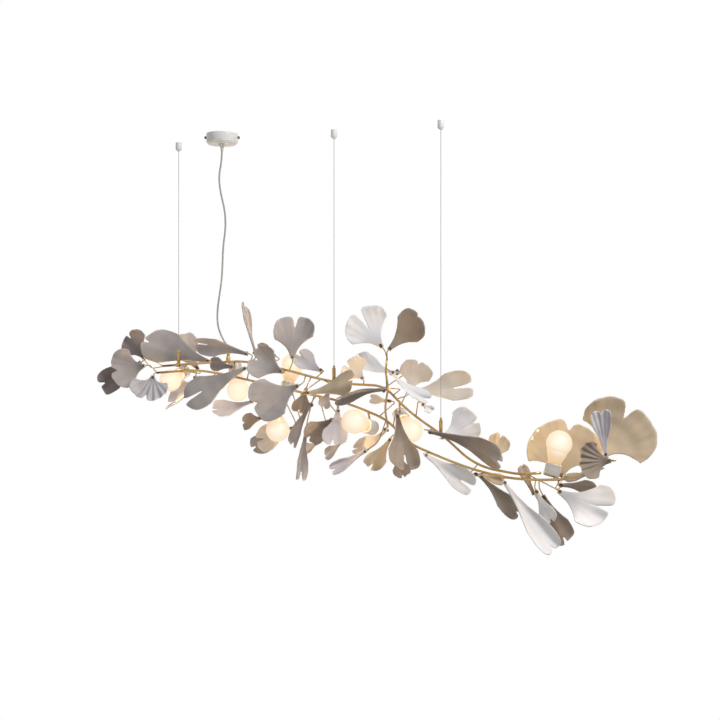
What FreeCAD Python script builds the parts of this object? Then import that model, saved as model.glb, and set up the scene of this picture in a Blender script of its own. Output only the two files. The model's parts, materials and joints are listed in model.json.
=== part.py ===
"""Branch chandelier: two brass rods hung on three steel cables, carrying porcelain ginkgo leaves and lamps.

Row frame: origin at the centre of the ceiling rose's ceiling face, +Z up, millimetres.
The branch has its own datum, from which its rods, leaves and lamps are placed.
"""

import FreeCAD, Part
import Sketcher
import math
import os

V = FreeCAD.Vector
V_AXIS = -2  # a sketch's vertical axis
doc = FreeCAD.newDocument("branch_chandelier")

# ---------------------------------------------------------------- driving sizes

SIZES = [
    ("suspension_drop", 575.0, "ceiling down to the branch datum"),
    ("datum_right", 351.0, "branch datum right of the rose"),
    ("datum_front", 100.0, "branch datum in front of the rose"),
    ("rose_diameter", 80.0, "ceiling rose outside"),
    ("rose_height", 26.0, "ceiling rose depth"),
    ("rose_wall", 1.5, "ceiling rose sheet"),
    ("rose_shoulder", 5.0, "slope between the rose's side and its floor"),
    ("bracket_width", 16.0, "rose bracket strip"),
    ("bracket_thick", 2.0, "rose bracket strip"),
    ("bracket_hole_spacing", 50.0, "ceiling screw holes in the bracket"),
    ("bracket_hole", 4.5, "ceiling screw hole"),
    ("ear_drop", 14.0, "bracket ears, ceiling to their lower ends"),
    ("rose_screw", 3.0, "knurled side screw thread"),
    ("rose_screw_head", 7.0, "knurled side screw head"),
    ("gland_diameter", 11.0, "cord gland body"),
    ("gland_flange", 17.0, "cord gland flange"),
    ("gland_nose", 16.0, "rose floor down to the gland's nose"),
    ("gland_rise", 4.0, "gland above the rose's floor"),
    ("block_length", 30.0, "terminal block"),
    ("block_width", 15.0, "terminal block"),
    ("block_height", 7.0, "terminal block"),
    ("block_way", 3.6, "wire way through the terminal block"),
    ("anchor_diameter", 16.0, "cable ceiling anchor"),
    ("anchor_base_depth", 7.0, "anchor base disc"),
    ("anchor_cap_depth", 15.0, "anchor cap"),
    ("anchor_hole", 4.5, "anchor ceiling screw hole"),
    ("cable_diameter", 1.5, "suspension cable"),
    ("cable_stop", 4.0, "swaged ball on the cable's upper end"),
    ("cable_play", 0.25, "cable in its bores, each side"),
    ("stop_play", 1.0, "anchor base down to the cable's ball"),
    ("cord_diameter", 4.6, "power cord"),
    ("cord_play", 0.1, "cord in its glands, each side"),
    ("ferrule_diameter", 11.0, "cord ferrule on the branch"),
    ("ferrule_height", 24.0, "rod axis up to the cord's end in the ferrule"),
    ("gripper_diameter", 9.0, "cable gripper"),
    ("gripper_length", 38.0, "cable gripper"),
    ("gripper_nose", 5.5, "cable gripper nose"),
    ("gripper_spigot", 5.2, "gripper foot in its collar's ear"),
    ("gripper_offset", 13.0, "gripper axis behind the rod axis"),
    ("collar_width", 10.0, "gripper collar along the rod"),
    ("collar_wall", 2.2, "gripper collar wall"),
    ("ear_thick", 4.0, "ear of the gripper collar"),
    ("cable_tail", 4.0, "cable below the gripper's foot"),
    ("rod_diameter", 6.0, "main brass rods"),
    ("post_diameter", 5.0, "upright brass post"),
    ("twig_diameter", 2.8, "leaf twigs"),
    ("arm_diameter", 5.0, "lamp arms"),
    ("leaf_thick", 3.0, "porcelain in mid leaf"),
    ("leaf_seat", 5.0, "porcelain at the screw"),
    ("leaf_rim", 2.0, "porcelain at the rim"),
    ("leaf_neck", 11.0, "leaf width at its screw"),
    ("leaf_tail", 6.0, "leaf behind its screw"),
    ("leaf_gap", 0.3, "running gap under a leaf and its screw head"),
    ("screw_diameter", 3.0, "leaf screw"),
    ("screw_clearance", 0.25, "leaf screw in its holes, each side"),
    ("screw_head", 7.0, "leaf screw knob"),
    ("screw_head_depth", 3.2, "leaf screw knob"),
    ("eyelet_diameter", 9.0, "twig eyelet"),
    ("eyelet_thick", 1.8, "twig eyelet"),
    ("nut_diameter", 6.4, "leaf screw nut over its corners"),
    ("nut_depth", 2.4, "leaf screw nut"),
    ("nut_gap", 0.1, "running gap between eyelet and nut"),
    ("screw_proud", 0.6, "leaf screw beyond its nut"),
    ("bulb_diameter", 60.0, "opal globe"),
    ("bulb_reach", 78.0, "globe top to its cap"),
    ("bulb_neck", 30.0, "globe at its cap"),
    ("cap_diameter", 26.0, "screw cap"),
    ("cap_depth", 24.0, "screw cap"),
    ("holder_diameter", 38.0, "lampholder"),
    ("holder_floor", 5.0, "lampholder bottom wall"),
    ("holder_clearance", 0.8, "cap in its lampholder, each side"),
    ("holder_floor_gap", 2.0, "cap to the lampholder floor"),
]

sheet = doc.addObject("Spreadsheet::Sheet", "sizes")
for row, (alias, value, note) in enumerate(SIZES, start=1):
    sheet.set(f"A{row}", note)
    sheet.set(f"B{row}", str(value))
    sheet.setAlias(f"B{row}", alias)
doc.recompute()


def size(alias):
    """A driving size, read back from the sheet."""
    return float(sheet.get(alias))


DATUM = V(size("datum_right"), -size("datum_front"), -size("suspension_drop"))

# ---------------------------------------------------------------- small helpers

parts = []  # the objects that become files


def keep(obj, label):
    """Give a finished sub-part its name and remember it."""
    obj.Label = label
    parts.append(obj)
    return obj


def bind(obj, **expressions):
    """Tie an object's properties to the sheet."""
    for prop, text in expressions.items():
        obj.setExpression(prop, text)


def cylinder(name, radius, height, at=V(0, 0, 0), axis=V(0, 0, 1)):
    """A Part cylinder; radius and height are sheet expressions."""
    obj = doc.addObject("Part::Cylinder", name)
    bind(obj, Radius=radius, Height=height)
    obj.Placement = FreeCAD.Placement(at, FreeCAD.Rotation(V(0, 0, 1), axis))
    return obj


def joined(name, pieces):
    """Part fuse of several primitives."""
    obj = doc.addObject("Part::MultiFuse", name)
    obj.Shapes = pieces
    return obj


def cut(name, base, tools):
    """Part cut of one or more primitives from another."""
    obj = doc.addObject("Part::Cut", name)
    obj.Base = base
    obj.Tool = joined(name + "_tools", tools) if len(tools) > 1 else tools[0]
    doc.recompute()
    return obj


def shape_node(label, shape):
    """A sub-part whose shape is worked out by this file's own functions."""
    obj = doc.addObject("Part::Feature", label)
    obj.Shape = shape
    return keep(obj, label)


def axis_placement(at, axis, spin=0.0):
    """Put local +Z along axis, with its foot at a point."""
    turn = FreeCAD.Rotation(V(0, 0, 1), axis)
    return FreeCAD.Placement(at, turn.multiply(FreeCAD.Rotation(V(0, 0, 1), spin)))


def placed(shape, placement):
    """A copy of a shape, moved."""
    return shape.transformed(placement.toMatrix(), True)


def turned_body(name, profile):
    """A body turned about Z; the profile is (radius, height) pairs of sheet expressions, straight between."""
    body = doc.addObject("PartDesign::Body", name)
    plane = next(part for part in body.Origin.OriginFeatures if part.Role == "XZ_Plane")
    sketch = body.newObject("Sketcher::SketchObject", name + "_profile")
    sketch.AttachmentSupport = (plane, [""])
    sketch.MapMode = "FlatFace"
    # Any loose ring will do, because the constraints place its corners.
    corners = [V(5 + math.cos(k), k, 0) for k in range(len(profile))]
    for start, end in zip(corners, corners[1:] + corners[:1]):
        sketch.addGeometry(Part.LineSegment(start, end), False)
    for line in range(len(profile)):
        before = (line - 1) % len(profile)
        sketch.addConstraint(Sketcher.Constraint("Coincident", before, 2, line, 1))
    for line, (radius, height) in enumerate(profile):
        if radius == "0":
            sketch.addConstraint(Sketcher.Constraint("PointOnObject", line, 1, V_AXIS))
        else:
            across = sketch.addConstraint(Sketcher.Constraint("DistanceX", line, 1, 1.0))
            sketch.setExpression(f"Constraints[{across}]", radius)
        up = sketch.addConstraint(Sketcher.Constraint("DistanceY", line, 1, 1.0))
        sketch.setExpression(f"Constraints[{up}]", height)
    doc.recompute()
    turn = body.newObject("PartDesign::Revolution", name + "_turn")
    turn.Profile = sketch
    turn.ReferenceAxis = (sketch, ["V_Axis"])
    turn.Angle = 360
    doc.recompute()
    return body


def turned(profile):
    """Solid of revolution about Z from (radius, height) points, straight between them."""
    points = [V(r, 0, z) for r, z in profile]
    face = Part.Face(Part.makePolygon(points + points[:1]))
    return face.revolve(V(0, 0, 0), V(0, 0, 1), 360)


def copies(label, shape, placements):
    """One node from several placed copies of a modelled piece."""
    return shape_node(label, Part.makeCompound([placed(shape, place) for place in placements]))


def rounded_route(points):
    """Straight runs joined by arcs as large as each pair of runs allows; also the arc radii."""
    edges = []
    radii = []
    start = points[0]
    for before, corner, after in zip(points, points[1:], points[2:]):
        back = (before - corner)
        ahead = (after - corner)
        reach = 0.45 * min(back.Length, ahead.Length)
        back.normalize()
        ahead.normalize()
        turn = math.pi - back.getAngle(ahead)
        enter = corner + back * reach
        leave = corner + ahead * reach
        radius = reach / math.tan(turn / 2)
        bisector = (back + ahead).normalize()
        middle = corner + bisector * (radius / math.cos(turn / 2) - radius)
        edges.append(Part.LineSegment(start, enter).toShape())
        edges.append(Part.Arc(enter, middle, leave).toShape())
        radii.append(radius)
        start = leave
    edges.append(Part.LineSegment(start, points[-1]).toShape())
    return Part.Wire(edges), radii


def tube(points, diameter):
    """A round bar along a rounded route."""
    wire, radii = rounded_route(points)
    start = (points[1] - points[0]).normalize()
    ring = Part.Wire(Part.Circle(points[0], start, diameter / 2).toShape())
    return wire.makePipeShell([ring], True, False), wire, radii


# ---------------------------------------------------------------- the rods

ROD_UPPER = [
    V(-522, 215, -16), V(-399, 169, -7), V(-296, 130, -3), V(-232, 105, -15), V(-167, 79, -30),
    V(-108, 55, -46), V(-37, 26, -59), V(59, -14, -63), V(102, -33, -109), V(139, -49, -140),
    V(198, -75, -180), V(273, -110, -250), V(370, -155, -265), V(415, -177, -259),
]
ROD_LOWER = [
    V(-539, 221, -34), V(-430, 180, -26), V(-363, 156, -35), V(-151, 73, -81), V(-37, 26, -104),
    V(68, -18, -146), V(116, -39, -201), V(203, -83, -236), V(264, -114, -257), V(342, -151, -274),
    V(415, -185, -275), V(486, -218, -268), V(543, -243, -222),
]
POST_BEHIND = (size("rod_diameter") + size("post_diameter")) / 2
POST = [
    V(68, -18 - POST_BEHIND, -164), V(60, -15 - POST_BEHIND, -118), V(69, -17 - POST_BEHIND, -68),
    V(62, -14 - POST_BEHIND, -28), V(66, -14 - POST_BEHIND, 4),
]


def in_row(points):
    """Branch-datum points in the row frame."""
    return [DATUM + p for p in points]


def rod(label, points, diameter):
    """A bent brass bar."""
    solid, wire, _ = tube(in_row(points), diameter)
    shape_node(label, solid)
    return wire


STEMS = {
    "upper": rod("rod_upper", ROD_UPPER, size("rod_diameter")),
    "lower": rod("rod_lower", ROD_LOWER, size("rod_diameter")),
    "post": rod("centre_post", POST, size("post_diameter")),
}


def at_x(stem, x):
    """The point of a stem's axis at a datum x, and its direction there."""
    wire = STEMS[stem]
    reach = 1000
    square = ((-reach, -reach), (reach, -reach), (reach, reach), (-reach, reach))
    corners = [DATUM + V(x, y, z) for y, z in square]
    slice_plane = Part.Face(Part.makePolygon(corners + corners[:1]))
    point = wire.distToShape(slice_plane)[1][0][0]
    return point, direction_at(wire, point)


def direction_at(wire, point):
    """A wire's direction nearest to a point."""
    vertex = Part.Vertex(point)
    edge = min(wire.Edges, key=lambda e: e.distToShape(vertex)[0])
    along = edge.tangentAt(edge.Curve.parameter(point))
    return along if along.x > 0 else along * -1


def nearest_stem(point, names=("upper", "lower")):
    """The closest point of the rods' axes to a point."""
    vertex = Part.Vertex(point)
    found = [STEMS[name].distToShape(vertex) for name in names]
    return min(found, key=lambda f: f[0])[1][0][0]


# ---------------------------------------------------------------- the leaves

# Each leaf: node, stem that carries it, screw point and tip from the branch datum, width,
# the way its broad side faces, bend along and cup across in degrees, twist, notch depth as a
# share of the length, ribs, and where along its stem the twig starts, if not at the nearest point.
LEAVES = [
    ("leaf_left_tip", "upper", (-590, 238, -8), (-703, 262, -67), 80, (0.1, -0.8, 0.6), 35, 45, 20, 0.15, 0),
    ("leaves_left_end", "upper", (-590, 292, 8), (-642, 318, 69), 87, (0.1, -1, -0.2), 25, 35, 10, 0.25, 0, -508),
    ("leaf_left_long", "upper", (-399, 196, -4), (-582, 277, 57), 98, (0, -1, 0.15), 18, 30, -10, 0.12, 0),
    ("leaves_left_end", "lower", (-438, 262, -23), (-507, 320, 68), 92, (0.1, -1, 0.3), 30, 25, 0, 0.2, 0),
    ("leaves_left_end", "lower", (-545, 196, -45), (-557, 174, -107), 105, (0, -0.9, 0.4), 30, 30, 0, 0.3, 8),
    ("leaves_left_end", "lower", (-438, 235, -48), (-526, 280, -114), 108, (-0.2, -0.6, 0.75), 45, 55, 0, 0.2, 0),
    ("leaves_left_middle", "upper", (-289, 92, 16), (-422, 98, 41), 66, (0, -0.85, -0.5), 25, 40, 15, 0.35, 0),
    ("leaves_left_middle", "upper", (-330, 126, -18), (-388, 130, -8), 40, (0, -1, 0.2), 20, 20, 0, 0.2, 0),
    ("leaves_left_middle", "lower", (-385, 152, -54), (-421, 155, -64), 28, (0, -1, 0.2), 10, 20, 0, 0.2, 0),
    ("leaves_left_middle", "lower", (-295, 100, -22), (-449, 140, -108), 85, (0, -0.95, 0.3), -20, 35, 0, 0.42, 0),
    ("leaves_left_middle", "lower", (-279, 138, -108), (-383, 146, -132), 52, (0, -0.9, 0.4), 30, 40, 0, 0.25, 0),
    ("leaf_upright_narrow", "upper", (-270, 140, 20), (-300, 165, 148), 45, (0.85, -0.4, 0.2), 15, 25, 10, 0.2, 0),
    ("leaves_centre_left", "upper", (-199, 68, -29), (-279, 92, 10), 96, (0.1, -1, 0.1), 40, 50, 0, 0.25, 0),
    ("leaves_centre_left", "upper", (-157, 34, -65), (-267, 20, -119), 119, (0, -0.95, 0.3), 30, 35, 10, 0.14, 0),
    ("leaves_glow_left", "lower", (-255, 135, -150), (-308, 160, -160), 48, (0, -0.9, 0.3), 20, 20, 0, 0.2, 0),
    ("leaves_glow_left", "lower", (-177, 125, -177), (-271, 170, -211), 83, (0, -0.85, 0.5), 35, 45, 0, 0.25, 0),
    ("leaves_glow_left", "lower", (-205, 172, -196), (-285, 222, -238), 58, (0, -0.9, -0.2), 20, 20, 0, 0.2, 0),
    ("leaf_blade", "lower", (-122, 38, -112), (-172, 14, -212), 44, (0.8, -0.5, 0.1), 25, 25, 10, 0.15, 0),
    ("leaf_hanging_slim", "lower", (-135, 55, -180), (-146, 42, -302), 42, (0.6, -0.8, 0), 20, 30, 20, 0.3, 0),
    ("leaf_upright_fan", "upper", (-171, 84, 8), (-171, 86, 114), 114, (0, -1, 0.15), 20, 30, 0, 0.32, 0),
    ("leaves_centre_top", "upper", (-225, 165, 12), (-270, 175, 38), 40, (0, -1, 0.2), 20, 20, 0, 0.2, 0),
    ("leaves_centre_top", "upper", (-98, 78, -28), (-161, 104, 20), 61, (0, -0.8, 0.6), 60, 30, 0, 0.2, 0),
    ("leaves_centre_front", "upper", (-127, -6, -81), (-9, -102, -40), 67, (0, -0.9, 0.45), 30, 30, 0, 0.22, 0),
    ("leaves_centre_front", "upper", (5, -3, -44), (-34, -22, 0), 88, (0, -0.9, 0.3), 35, 45, 0, 0.4, 0),
    ("leaves_centre_top", "upper", (91, 16, -30), (-10, 44, 15), 79, (0, -0.45, 0.9), 55, 30, 0, 0.2, 0),
    ("leaves_hub", "upper", (77, -56, -31), (168, -96, -92), 50, (0.4, -0.7, 0.6), 50, 25, 0, 0.2, 0),
    ("leaves_centre_front", "upper", (56, -118, -70), (-58, -130, -98), 61, (0, -0.6, -0.8), 35, 30, 25, 0.2, 0),
    ("leaves_hub", "lower", (72, 8, -102), (22, 25, -95), 28, (0, -0.9, 0.3), 15, 20, 0, 0.2, 0),
    ("leaves_centre_low", "lower", (-54, 0, -125), (-64, 2, -211), 69, (-0.1, -0.9, 0.4), 30, 45, 0, 0.2, 0),
    ("leaves_centre_low", "lower", (-72, 30, -150), (-137, 45, -195), 72, (0, -0.8, -0.6), 25, 40, 0, 0.22, 0),
    ("leaves_glow_centre", "lower", (64, 12, -173), (-18, 62, -228), 67, (-0.2, -0.6, 0.75), 30, 40, 0, 0.2, 0),
    ("leaves_glow_centre", "lower", (71, -38, -194), (24, -38, -266), 53, (0, -0.95, 0.2), 30, 35, 10, 0.25, 0),
    ("leaves_centre_low", "lower", (-50, 82, -210), (-92, 102, -245), 40, (0, -0.8, 0.6), 30, 20, 0, 0.2, 0, -90),
    ("leaves_glow_centre", "lower", (12, -18, -222), (-72, -12, -272), 36, (0, -0.9, 0.3), 20, 30, 0, 0.2, 0),
    ("leaves_centre_low", "lower", (-110, 95, -212), (-148, 118, -232), 32, (0, -0.9, 0.3), 20, 20, 0, 0.2, 0),
    ("leaf_hanging_brown", "lower", (89, -66, -134), (103, -122, -260), 78, (-0.1, -0.9, -0.3), 30, 40, 12, 0.42, 0),
    ("leaves_hub", "lower", (92, -12, -228), (106, -18, -288), 46, (0, -0.95, 0.3), 20, 25, 0, 0.2, 0),
    ("leaf_crown_white", "post", (52, 8, 34), (-15, 38, 119), 124, (0, -1, 0.1), 25, 30, 0, 0.55, 0),
    ("leaf_crown_brown", "post", (73, -28, 28), (149, -62, 103), 87, (-0.1, -1, -0.2), 35, 40, 25, 0.06, 0),
    ("leaves_hub", "upper", (122, -8, -71), (145, -4, 0), 88, (0, -1, 0.2), 25, 35, 0, 0.12, 0),
    ("leaf_split_right", "upper", (131, -30, -76), (273, -44, -53), 87, (0, -0.9, 0.4), 30, 30, 0, 0.45, 0),
    ("leaves_right_front", "upper", (150, -66, -106), (172, -80, -124), 26, (0, -1, 0.2), 10, 20, 0, 0.2, 0),
    ("leaves_right_front", "upper", (196, -100, -182), (282, -112, -139), 104, (0, -0.9, 0.4), 30, 40, 0, 0.2, 0),
    ("leaves_right_front", "upper", (165, -114, -169), (328, -210, -231), 62, (0, -0.8, -0.6), 30, 35, 20, 0.12, 0),
    ("leaves_right_back", "upper", (319, -80, -241), (342, -70, -177), 57, (0, -0.95, 0.2), 25, 35, 0, 0.2, 0),
    ("leaves_right_back", "upper", (276, -88, -272), (342, -115, -282), 30, (0, -0.9, 0.3), 15, 20, 0, 0.15, 0),
    ("leaves_right_back", "lower", (158, -82, -226), (270, -116, -298), 64, (0, -0.9, 0.4), 25, 35, 0, 0.35, 0),
    ("leaf_drop_short", "lower", (282, -150, -272), (366, -178, -362), 52, (0, -0.9, -0.4), 25, 30, 10, 0.15, 0),
    ("leaf_drop_long", "lower", (332, -178, -280), (434, -252, -425), 61, (-0.1, -0.9, 0.4), 25, 40, -10, 0.1, 0),
    ("leaves_right_low", "lower", (427, -148, -318), (482, -150, -424), 58, (0, -0.9, -0.4), 20, 25, 0, 0.2, 0),
    ("leaves_right_low", "upper", (404, -132, -310), (380, -122, -244), 35, (0.5, -0.8, 0), 15, 30, 0, 0.1, 0),
    ("leaves_right_low", "lower", (404, -178, -302), (440, -188, -372), 42, (0, -0.9, 0.3), 20, 25, 0, 0.2, 0),
    ("leaf_end_back", "upper", (472, -118, -270), (485, -96, -140), 198, (0, -1, 0.05), 20, 40, 0, 0.2, 0, 385),
    ("leaf_end_tan", "lower", (551, -222, -214), (628, -234, -105), 193, (0, -1, 0.1), 25, 35, 0, 0.32, 0),
    ("leaves_right_end", "lower", (542, -268, -208), (528, -280, -110), 49, (-0.3, -0.9, 0.2), 25, 40, 0, 0.1, 5),
    ("leaves_right_end", "lower", (544, -292, -221), (477, -302, -220), 87, (0, -1, 0.2), 35, 45, 0, 0.1, 8),
    ("leaves_right_end", "lower", (556, -165, -232), (520, -130, -250), 30, (0, -0.9, 0.4), 15, 20, 0, 0.2, 0),
    ("leaves_right_end", "lower", (542, -182, -255), (468, -162, -274), 24, (0, -0.8, 0.6), 15, 20, 0, 0.1, 0),
    ("leaves_right_end", "lower", (459, -188, -285), (543, -200, -294), 41, (0, -0.9, -0.3), 20, 30, 0, 0.2, 0),
    ("leaf_end_white", "lower", (452, -212, -299), (552, -282, -339), 116, (0, -0.9, 0.45), 25, 40, 0, 0.34, 0),
    ("leaves_left_end", "lower", (-576, 222, -16), (-662, 214, -32), 117, (0.1, -0.95, 0.2), 30, 45, 0, 0.2, 0),
    ("leaves_glow_left", "upper", (-135, 50, -75), (-153, 54, -135), 50, (0.2, -0.9, 0.2), 20, 40, 0, 0.2, 0),
    ("leaves_centre_top", "upper", (-77, 22, -77), (-94, 18, -119), 35, (0, -1, 0.2), 20, 30, 0, 0.2, 0, -96),
]

# Where the poles of a leaf's two faces lie: across the fan, close together at its notch, and along it.
FAN_HALF = [0.035, 0.08, 0.16, 0.28, 0.45, 0.65, 0.85, 1]
FAN_ACROSS = [-x for x in reversed(FAN_HALF)] + [0] + FAN_HALF
FAN_ALONG = [0, 0.05, 0.14, 0.28, 0.45, 0.64, 0.83, 1]
POLES_PER_RIB = 6
NOTCH_WIDTH = 0.055
NOTCH_SHIFT = 0.12
SIDE_SHORTER = 0.08
CORNER_ROUND = 0.26
LOBE_CONTRAST = 0.05
WIDEST_AT = 0.85
WIDEST_REACH = 1 - SIDE_SHORTER * WIDEST_AT ** 2 - CORNER_ROUND * WIDEST_AT ** 6
RIM_WAVE = 0.02
WAVE_SHARE = 0.045
WAVE_COUNT = 2.8
RUFFLE_SHARE = 0.35
RUFFLE_COUNT = 6.5
RIB_HEIGHT = 1.6
NECK_SHARE = 0.50


def patch(poles, across, along):
    """A clamped B-spline face from a grid of poles."""

    def knots(count, degree):
        inner = count - degree - 1
        values = [k / (inner + 1) for k in range(inner + 2)]
        return values, [degree + 1] + [1] * inner + [degree + 1]

    u_knots, u_mults = knots(len(poles), across)
    v_knots, v_mults = knots(len(poles[0]), along)
    surface = Part.BSplineSurface()
    surface.buildFromPolesMultsKnots(
        poles, u_mults, v_mults, u_knots, v_knots, False, False, across, along
    )
    return surface.toShape()


class Leaf:
    """One porcelain fan: its form in its own frame (x across, y to the tip, z to its face)."""

    def __init__(self, number, stem, base, tip, width, facing, bend, cup, twist, notch, ribs, start_x=None):
        base = V(*base)
        tip = V(*tip)
        facing = V(*facing)
        self.width = width
        self.bend = math.radians(bend)
        self.cup = math.radians(cup)
        self.twist = math.radians(twist)
        self.notch = notch
        self.ribs = ribs
        self.phase = 0.9 * number
        self.lean = math.sin(2.1 * number)
        half_bend = self.bend / 2
        chord = tip - base
        self.length = chord.Length * half_bend / math.sin(half_bend)
        self.spread = math.asin(min(0.98, width / 2 / (WIDEST_REACH * self.length))) / WIDEST_AT
        self.wave = WAVE_SHARE * self.length
        ahead = V(chord).normalize()
        face = (facing - ahead * facing.dot(ahead)).normalize()
        self.ahead = ahead * math.cos(half_bend) - face * math.sin(half_bend)
        self.face = face * math.cos(half_bend) + ahead * math.sin(half_bend)
        side = self.ahead.cross(self.face)
        self.base = DATUM + base
        self.placement = FreeCAD.Placement(self.base, FreeCAD.Rotation(side, self.ahead, self.face, "ZXY"))
        self.start = nearest_stem(self.base, (stem,)) if start_x is None else at_x(stem, start_x)[0]
        self.knob = V(self.face)
        self.fixing = self.placement
        if (self.start - self.base).dot(self.face) > 0:  # the stem is on the face side, so the knob is behind
            self.knob = -self.face
            self.fixing = FreeCAD.Placement(self.base, FreeCAD.Rotation(-side, self.ahead, self.knob, "ZXY"))

    def flat(self, across, along):
        """Outline position on the flattened leaf."""
        reach = self.length * (1 - SIDE_SHORTER * across ** 2 - CORNER_ROUND * across ** 6)
        wave = RIM_WAVE * math.sin(6 * across + self.phase)
        reach += self.length * (wave + LOBE_CONTRAST * self.lean * across)
        reach *= 1 - self.notch * math.exp(-((across / NOTCH_WIDTH) ** 2))
        reach *= along
        turn = across + NOTCH_SHIFT * self.lean * (1 - across ** 2)
        angle = self.spread * turn * (NECK_SHARE + (1 - NECK_SHARE) * along)
        x = reach * math.sin(angle) + size("leaf_neck") / 2 * across * (1 - along) ** 3
        y = reach * math.cos(angle) - size("leaf_tail") * (1 - along) ** 6
        return x, y

    def thickness(self, along):
        """Thick at the screw, thinner at the rim."""
        seat = (size("leaf_seat") - size("leaf_thick")) * math.exp(-((along / 0.10) ** 2))
        return size("leaf_thick") + seat - (size("leaf_thick") - size("leaf_rim")) * along ** 2

    def height(self, x, y):
        """Waves and ribs, standing off the flat leaf."""
        far = math.hypot(x, y) / self.length
        angle = math.atan2(x, y) if far > 0.01 else 0
        rise = self.wave * math.sin(WAVE_COUNT * angle / self.spread + self.phase) * far ** 2
        rise += RUFFLE_SHARE * self.wave * math.sin(RUFFLE_COUNT * angle / self.spread - self.phase) * far ** 4
        if self.ribs:
            rise += RIB_HEIGHT * math.cos(self.ribs * math.pi * angle / self.spread) * min(1, 1.6 * far) ** 2
        return rise

    def curled(self, x, y, z):
        """Cup the fan across, twist it and bend it along."""
        far = max(0.0, y / self.length)
        cup = self.cup / self.width * min(1, 1.5 * far)
        if abs(cup) > 1e-7:
            x, z = (1 / cup - z) * math.sin(x * cup), 1 / cup - (1 / cup - z) * math.cos(x * cup)
        turn = self.twist * far ** 2
        x, z = x * math.cos(turn) - z * math.sin(turn), x * math.sin(turn) + z * math.cos(turn)
        bow = self.bend / self.length
        y, z = (1 / bow - z) * math.sin(y * bow), 1 / bow - (1 / bow - z) * math.cos(y * bow)
        return V(x, y, z)

    def skin(self, across, along, side):
        """A pole of the face (side +1) or of the back (side -1)."""
        x, y = self.flat(across, along)
        step = 0.5
        slope_x = (self.height(x + step, y) - self.height(x - step, y)) / (2 * step)
        slope_y = (self.height(x, y + step) - self.height(x, y - step)) / (2 * step)
        off = V(-slope_x, -slope_y, 1).normalize() * (self.thickness(along) / 2 * side)
        return self.curled(x + off.x, y + off.y, self.height(x, y) + off.z)

    def solid(self):
        """Six B-spline faces with shared poles, sewn, with the screw hole cut."""
        columns = FAN_ACROSS
        if self.ribs:
            count = POLES_PER_RIB * self.ribs
            columns = [2 * k / count - 1 for k in range(count + 1)]
        face = [[self.skin(t, r, 1) for r in FAN_ALONG] for t in columns]
        back = [[self.skin(t, r, -1) for r in FAN_ALONG] for t in columns]
        rim = [[face[i][-1], back[i][-1]] for i in range(len(columns))]
        tail = [[face[i][0], back[i][0]] for i in range(len(columns))]
        left = [[face[0][j], back[0][j]] for j in range(len(FAN_ALONG))]
        right = [[face[-1][j], back[-1][j]] for j in range(len(FAN_ALONG))]
        faces = [patch(face, 3, 3), patch(back, 3, 3)]
        faces += [patch(strip, 3, 1) for strip in (rim, tail, left, right)]
        skin = Part.makeCompound(faces)
        skin.sewShape(1e-3)
        body = Part.Solid(skin.Shells[0])
        if body.Volume < 0:
            body.reverse()
        bore = size("screw_diameter") / 2 + size("screw_clearance")
        drill = Part.makeCylinder(bore, 4 * size("leaf_seat"), V(0, 0, -2 * size("leaf_seat")))
        return placed(body.cut(drill), self.placement)


leaves = [Leaf(number, *row[1:]) for number, row in enumerate(LEAVES)]
leaf_nodes = {}
for row, leaf in zip(LEAVES, leaves):
    leaf_nodes.setdefault(row[0], []).append(leaf.solid())
for label, solids in leaf_nodes.items():
    shape_node(label, Part.makeCompound(solids) if len(solids) > 1 else solids[0])

# ---------------------------------------------------------------- leaf screws, nuts and twigs

SEAT = size("leaf_seat") / 2
EYELET_TOP = -SEAT - size("leaf_gap")
EYELET_FOOT = EYELET_TOP - size("eyelet_thick")
NUT_TOP = EYELET_FOOT - size("nut_gap")


def leaf_screw():
    """Knob-headed screw; local origin at mid leaf, head on +Z."""
    head = "sizes.leaf_seat / 2 + sizes.leaf_gap"
    end = "-sizes.leaf_seat / 2 - sizes.leaf_gap - sizes.eyelet_thick - sizes.nut_gap - sizes.nut_depth"
    end += " - sizes.screw_proud"
    shank = "sizes.screw_diameter / 2"
    return turned_body("leaf_screw_form", [
        ("0", end), (shank, end), (shank, head), ("sizes.screw_head / 2", head),
        ("sizes.screw_head / 2", head + " + 0.7 * sizes.screw_head_depth"),
        ("0.36 * sizes.screw_head", head + " + sizes.screw_head_depth"),
        ("0", head + " + sizes.screw_head_depth"),
    ]).Shape


def leaf_nut():
    """Hexagon nut that closes on the screw's end with a running gap."""
    prism = doc.addObject("Part::Prism", "leaf_nut_prism")
    prism.Polygon = 6
    bind(prism, Circumradius="sizes.nut_diameter / 2", Height="sizes.nut_depth")
    foot = NUT_TOP - size("nut_depth")
    prism.Placement.Base = V(0, 0, foot)
    bore_radius = "sizes.screw_diameter / 2 + 0.05"
    bore = cylinder("leaf_nut_bore", bore_radius, "2 * sizes.nut_depth", V(0, 0, foot - 1))
    return cut("leaf_nut_form", prism, [bore]).Shape


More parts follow.
